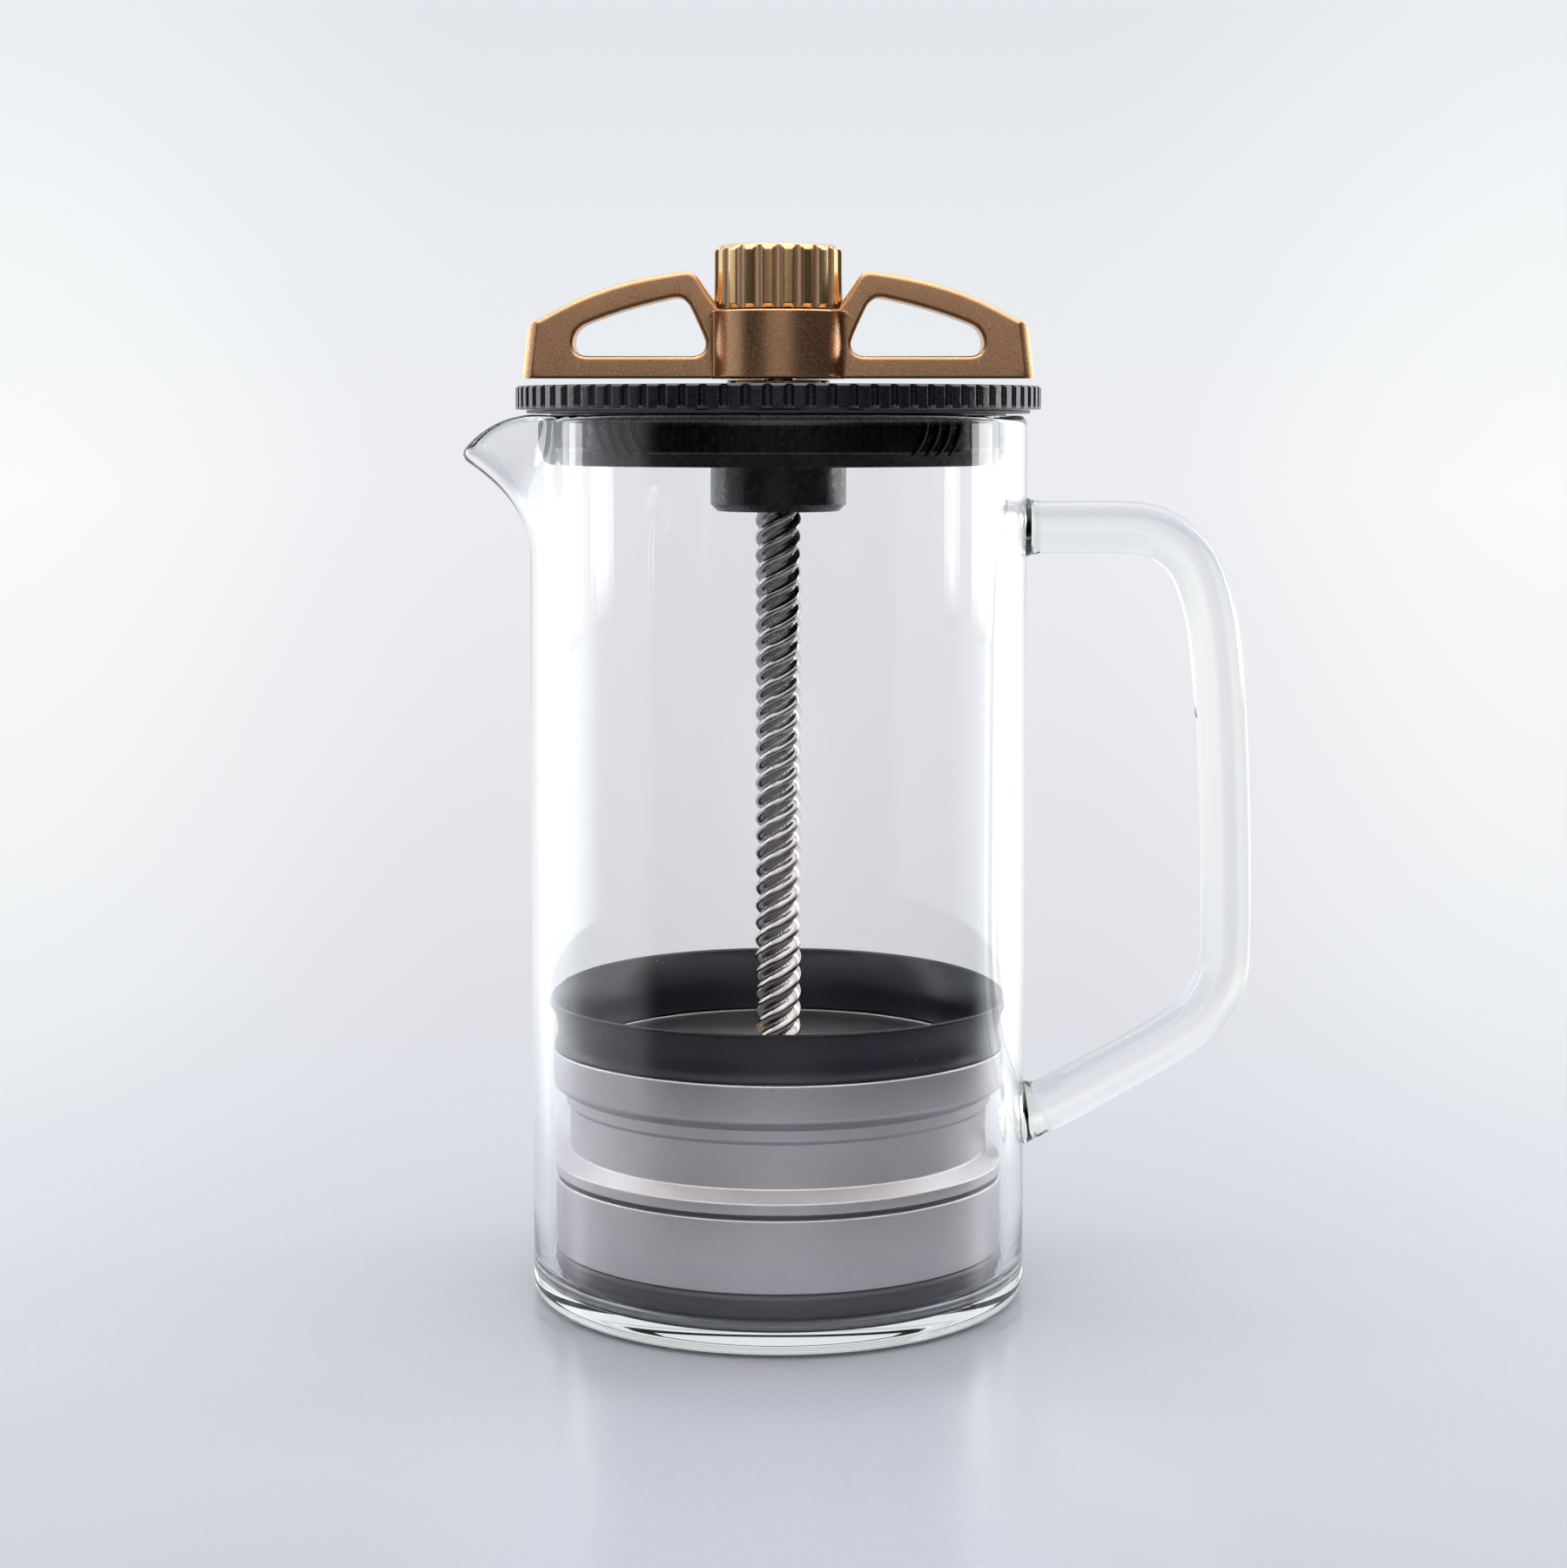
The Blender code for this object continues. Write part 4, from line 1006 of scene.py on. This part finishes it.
# painted shade: the floor is painted darker towards -Y and away from the middle line
panel_tone_and_painted_shade = fm.math("MULTIPLY", fm.ramp(fs.outputs[1], -0.05, -0.22),
               fm.ramp(fm.math("ABSOLUTE", fs.outputs[0]), 0.015, 0.06))
fm.set("Base Color", fm.mix(panel_tone_and_painted_shade, paint, (0.242, 0.256, 0.297, 1.0)))
fm.bump(fm.noise(1600.0, 2.0), 0.00001)
rad, _ = fm.radius()
clear = fm.node("ShaderNodeBsdfTransparent")
mixer = fm.node("ShaderNodeMixShader")
fade = fm.ramp(rad, 0.12, 0.32)
fm.put(mixer, 0, fm.math("POWER", fade, 0.8))
fm.t.links.new(fm.b.outputs[0], mixer.inputs[1])
fm.t.links.new(clear.outputs[0], mixer.inputs[2])
fm.t.links.new(mixer.outputs[0], fm.t.nodes["Material Output"].inputs["Surface"])
floor_me.materials.append(fm.m)

world = bpy.data.worlds.new("studio")
SCENE.world = world
world.use_nodes = True
wt = world.node_tree
wt.nodes.clear()


class W:
    """Short ways to add nodes to the surround."""

    @staticmethod
    def node(kind, **values):
        n = wt.nodes.new(kind)
        for k, v in values.items():
            setattr(n, k, v)
        return n

    @staticmethod
    def put(n, key, value):
        if isinstance(value, bpy.types.NodeSocket):
            wt.links.new(value, n.inputs[key])
        else:
            n.inputs[key].default_value = value

    @staticmethod
    def math(op, a, b=0.0, clamp=False):
        n = W.node("ShaderNodeMath", operation=op, use_clamp=clamp)
        W.put(n, 0, a)
        W.put(n, 1, b)
        return n.outputs[0]

    @staticmethod
    def ramp(v, lo, hi, a=0.0, b=1.0, smooth=True):
        n = W.node("ShaderNodeMapRange", clamp=True)
        n.interpolation_type = "SMOOTHSTEP" if smooth else "LINEAR"
        W.put(n, "Value", v)
        for key, x in zip(("From Min", "From Max", "To Min", "To Max"), (lo, hi, a, b)):
            W.put(n, key, x)
        return n.outputs["Result"]

    @staticmethod
    def mix(fac, a, b):
        n = W.node("ShaderNodeMix", data_type="RGBA")
        W.put(n, "Factor", fac)
        W.put(n, 6, a)
        W.put(n, 7, b)
        return n.outputs[2]

    @staticmethod
    def scale(colour, k):
        n = W.node("ShaderNodeMix", data_type="RGBA", blend_type="MULTIPLY")
        n.inputs["Factor"].default_value = 1.0
        W.put(n, 6, colour)
        W.put(n, 7, k)
        return n.outputs[2]

    @staticmethod
    def bands(v, stops):
        """A colour for each value of v in [-1, 1]: stops are (value, colour)."""
        n = W.node("ShaderNodeValToRGB")
        W.put(n, 0, W.math("ADD", W.math("MULTIPLY", v, 0.5), 0.5))
        el = n.color_ramp.elements
        while len(el) > 1:
            el.remove(el[-1])
        el[0].position = stops[0][0] * 0.5 + 0.5
        el[0].color = stops[0][1]
        for p, c in stops[1:]:
            e = el.new(p * 0.5 + 0.5)
            e.color = c
        return n.outputs[0]


tc = W.node("ShaderNodeTexCoord").outputs["Generated"]
sep = W.node("ShaderNodeSeparateXYZ")
W.put(sep, 0, tc)
dx, dy, dz = sep.outputs

# the surround that is seen: a pale sweep, brighter towards both sides
centre_tone = W.bands(dz, [(-0.37, srgb(197, 201, 211)), (-0.344, srgb(200, 204, 213)), (-0.313, srgb(204, 208, 218)),
                           (-0.281, srgb(212, 215, 222)), (-0.248, srgb(218, 221, 226)), (-0.18, srgb(225, 226, 231)),
                           (-0.11, srgb(231, 232, 236)), (-0.02, srgb(236, 237, 241)), (0.05, srgb(233, 236, 240)),
                           (0.134, srgb(227, 231, 236)), (0.3, srgb(224, 229, 234))])
side_tone = W.bands(dz, [(-0.37, srgb(206, 210, 219)), (-0.344, srgb(209, 213, 222)), (-0.313, srgb(216, 220, 227)),
                         (-0.281, srgb(223, 227, 232)), (-0.248, srgb(230, 235, 237)), (-0.146, srgb(241, 243, 245)),
                         (-0.022, srgb(250, 251, 251)), (0.05, srgb(244, 247, 248)), (0.134, srgb(235, 239, 242)),
                         (0.3, srgb(230, 234, 238))])
seen = W.mix(W.ramp(W.math("ABSOLUTE", dx), 0.09, 0.262), centre_tone, side_tone)

# what the object reflects: a dim room in front, soft boxes at both sides, the pale sweep behind
phi = W.math("MULTIPLY", W.math("ARCTAN2", dx, W.math("MULTIPLY", dy, -1.0)), 180 / math.pi)
aphi = W.math("ABSOLUTE", phi)


def window_of(v, a, b, c, d):
    return W.math("MULTIPLY", W.ramp(v, a, b), W.ramp(v, d, c))


# ahead: a pale panel over the lens, dim to both sides of it, lighter again far to the left
glow = W.ramp(W.math("ABSOLUTE", W.math("SUBTRACT", phi, 1.0)), 36.0, 6.0)
left_fill = W.ramp(phi, -58.0, -70.0)
left_more = W.math("MULTIPLY", W.ramp(phi, -76.0, -98.0), W.ramp(dz, -0.12, 0.0))
ahead = W.mix(glow, (0.115, 0.11, 0.12, 1.0), (0.90, 0.86, 0.92, 1.0))
# over the lens it is lighter, under it dimmer, and level with it there is a dark gap
under = W.ramp(dz, 0.02, -0.05)
ahead = W.mix(under, ahead, W.scale(ahead, (0.30, 0.30, 0.33, 1.0)))
level = W.ramp(W.math("ABSOLUTE", W.math("ADD", dz, 0.021)), 0.042, 0.085)
shelf = W.ramp(W.math("ABSOLUTE", W.math("ADD", dz, 0.214)), 0.026, 0.050)
level = W.math("MULTIPLY", level, W.math("ADD", W.math("MULTIPLY", shelf, 0.70), 0.30))
ahead = W.mix(level, W.scale(ahead, (0.02, 0.02, 0.024, 1.0)), ahead)
ahead = W.mix(left_fill, ahead, W.mix(left_more, (0.58, 0.58, 0.61, 1.0), (0.95, 0.99, 1.05, 1.0)))
over = W.ramp(dz, 0.20, 0.55)
ahead = W.mix(over, ahead, (1.65, 1.58, 1.60, 1.0))
behind = W.math("MAXIMUM", W.ramp(phi, -96.0, -124.0), W.ramp(phi, 102.0, 124.0))
flank = window_of(aphi, 98.0, 114.0, 138.0, 158.0)
back = W.mix(W.ramp(phi, -60.0, 60.0), (0.93, 0.97, 1.02, 1.0), (1.30, 1.34, 1.38, 1.0))
back = W.mix(W.ramp(aphi, 140.0, 165.0), back, (0.89, 0.905, 0.92, 1.0))
room = W.mix(behind, ahead, W.mix(flank, back, W.scale(back, (1.5, 1.5, 1.5, 1.0))))
# above, a large soft panel; below, the floor
top = W.ramp(dz, 0.6, 0.9)
room = W.mix(top, room, (3.2, 3.05, 2.9, 1.0))
low = W.ramp(dz, -0.2, -0.5)
room = W.mix(low, room, W.mix(W.ramp(aphi, 80.0, 35.0), (0.52, 0.53, 0.57, 1.0), (0.24, 0.245, 0.27, 1.0)))

lp = W.node("ShaderNodeLightPath")
bounced = W.math("ADD", lp.outputs["Diffuse Depth"], lp.outputs["Glossy Depth"])
direct = W.math("MULTIPLY", W.math("LESS_THAN", bounced, 0.5),
                W.math("MAXIMUM", lp.outputs["Is Camera Ray"], lp.outputs["Is Transmission Ray"]))
# light that has wandered inside the glass comes out with the pale tone of the sweep
inside = W.math("MULTIPLY", W.math("GREATER_THAN", lp.outputs["Transmission Depth"], 0.5),
                W.math("GREATER_THAN", lp.outputs["Glossy Depth"], 1.5))
room = W.mix(W.math("MULTIPLY", inside, 0.85), room, (0.80, 0.81, 0.83, 1.0))
colour = W.mix(direct, room, seen)
bg = W.node("ShaderNodeBackground")
W.put(bg, 0, colour)
wo = W.node("ShaderNodeOutputWorld")
wt.links.new(bg.outputs[0], wo.inputs[0])



def softbox(name, a, b, z0, z1, strength):
    """An upright strip of light between two floor points (mm), fading out at its foot."""
    me = bpy.data.meshes.new(name)
    me.from_pydata([(a[0] * MM, a[1] * MM, z0 * MM), (b[0] * MM, b[1] * MM, z0 * MM),
                    (b[0] * MM, b[1] * MM, z1 * MM), (a[0] * MM, a[1] * MM, z1 * MM)], [], [(0, 1, 2, 3)])
    ob = bpy.data.objects.new(name, me)
    SCENE.collection.objects.link(ob)
    m = Mat(name, (0.0, 0.0, 0.0), 1.0)
    s = m.node("ShaderNodeSeparateXYZ")
    m.put(s, 0, m.pos)
    em = m.node("ShaderNodeEmission")
    em.inputs["Color"].default_value = (0.97, 0.985, 1.0, 1.0)
    m.put(em, "Strength", m.ramp(s.outputs[2], z0 * MM, (z0 + 26) * MM, 0.0, strength))
    m.t.links.new(em.outputs[0], m.t.nodes["Material Output"].inputs["Surface"])
    me.materials.append(m.m)
    ob.visible_camera = False
    ob.visible_shadow = False
    return ob


softbox("softbox_left", (-495, 99), (-406, 154), 86, 620, 5.6)
softbox("softbox_right", (392, 185), (540, 95), 86, 620, 4.9)

# =====================================================================
# Camera
# =====================================================================
cam_data = bpy.data.cameras.new("camera")
cam = bpy.data.objects.new("camera", cam_data)
SCENE.collection.objects.link(cam)
cam.location = (0.0, -0.5365, 0.159)
cam.rotation_euler = (math.radians(90.0 - 3.9), 0.0, 0.0)
cam_data.sensor_width = 36.0
cam_data.lens = 67.76
cam_data.shift_x = 0.0033
cam_data.shift_y = -0.103
cam_data.clip_start = 0.01
cam_data.clip_end = 20.0
SCENE.camera = cam

SCENE.view_settings.view_transform = "Standard"
SCENE.cycles.max_bounces = 24
SCENE.cycles.transmission_bounces = 18
SCENE.cycles.glossy_bounces = 12
SCENE.cycles.transparent_max_bounces = 16
SCENE.cycles.use_denoising = True
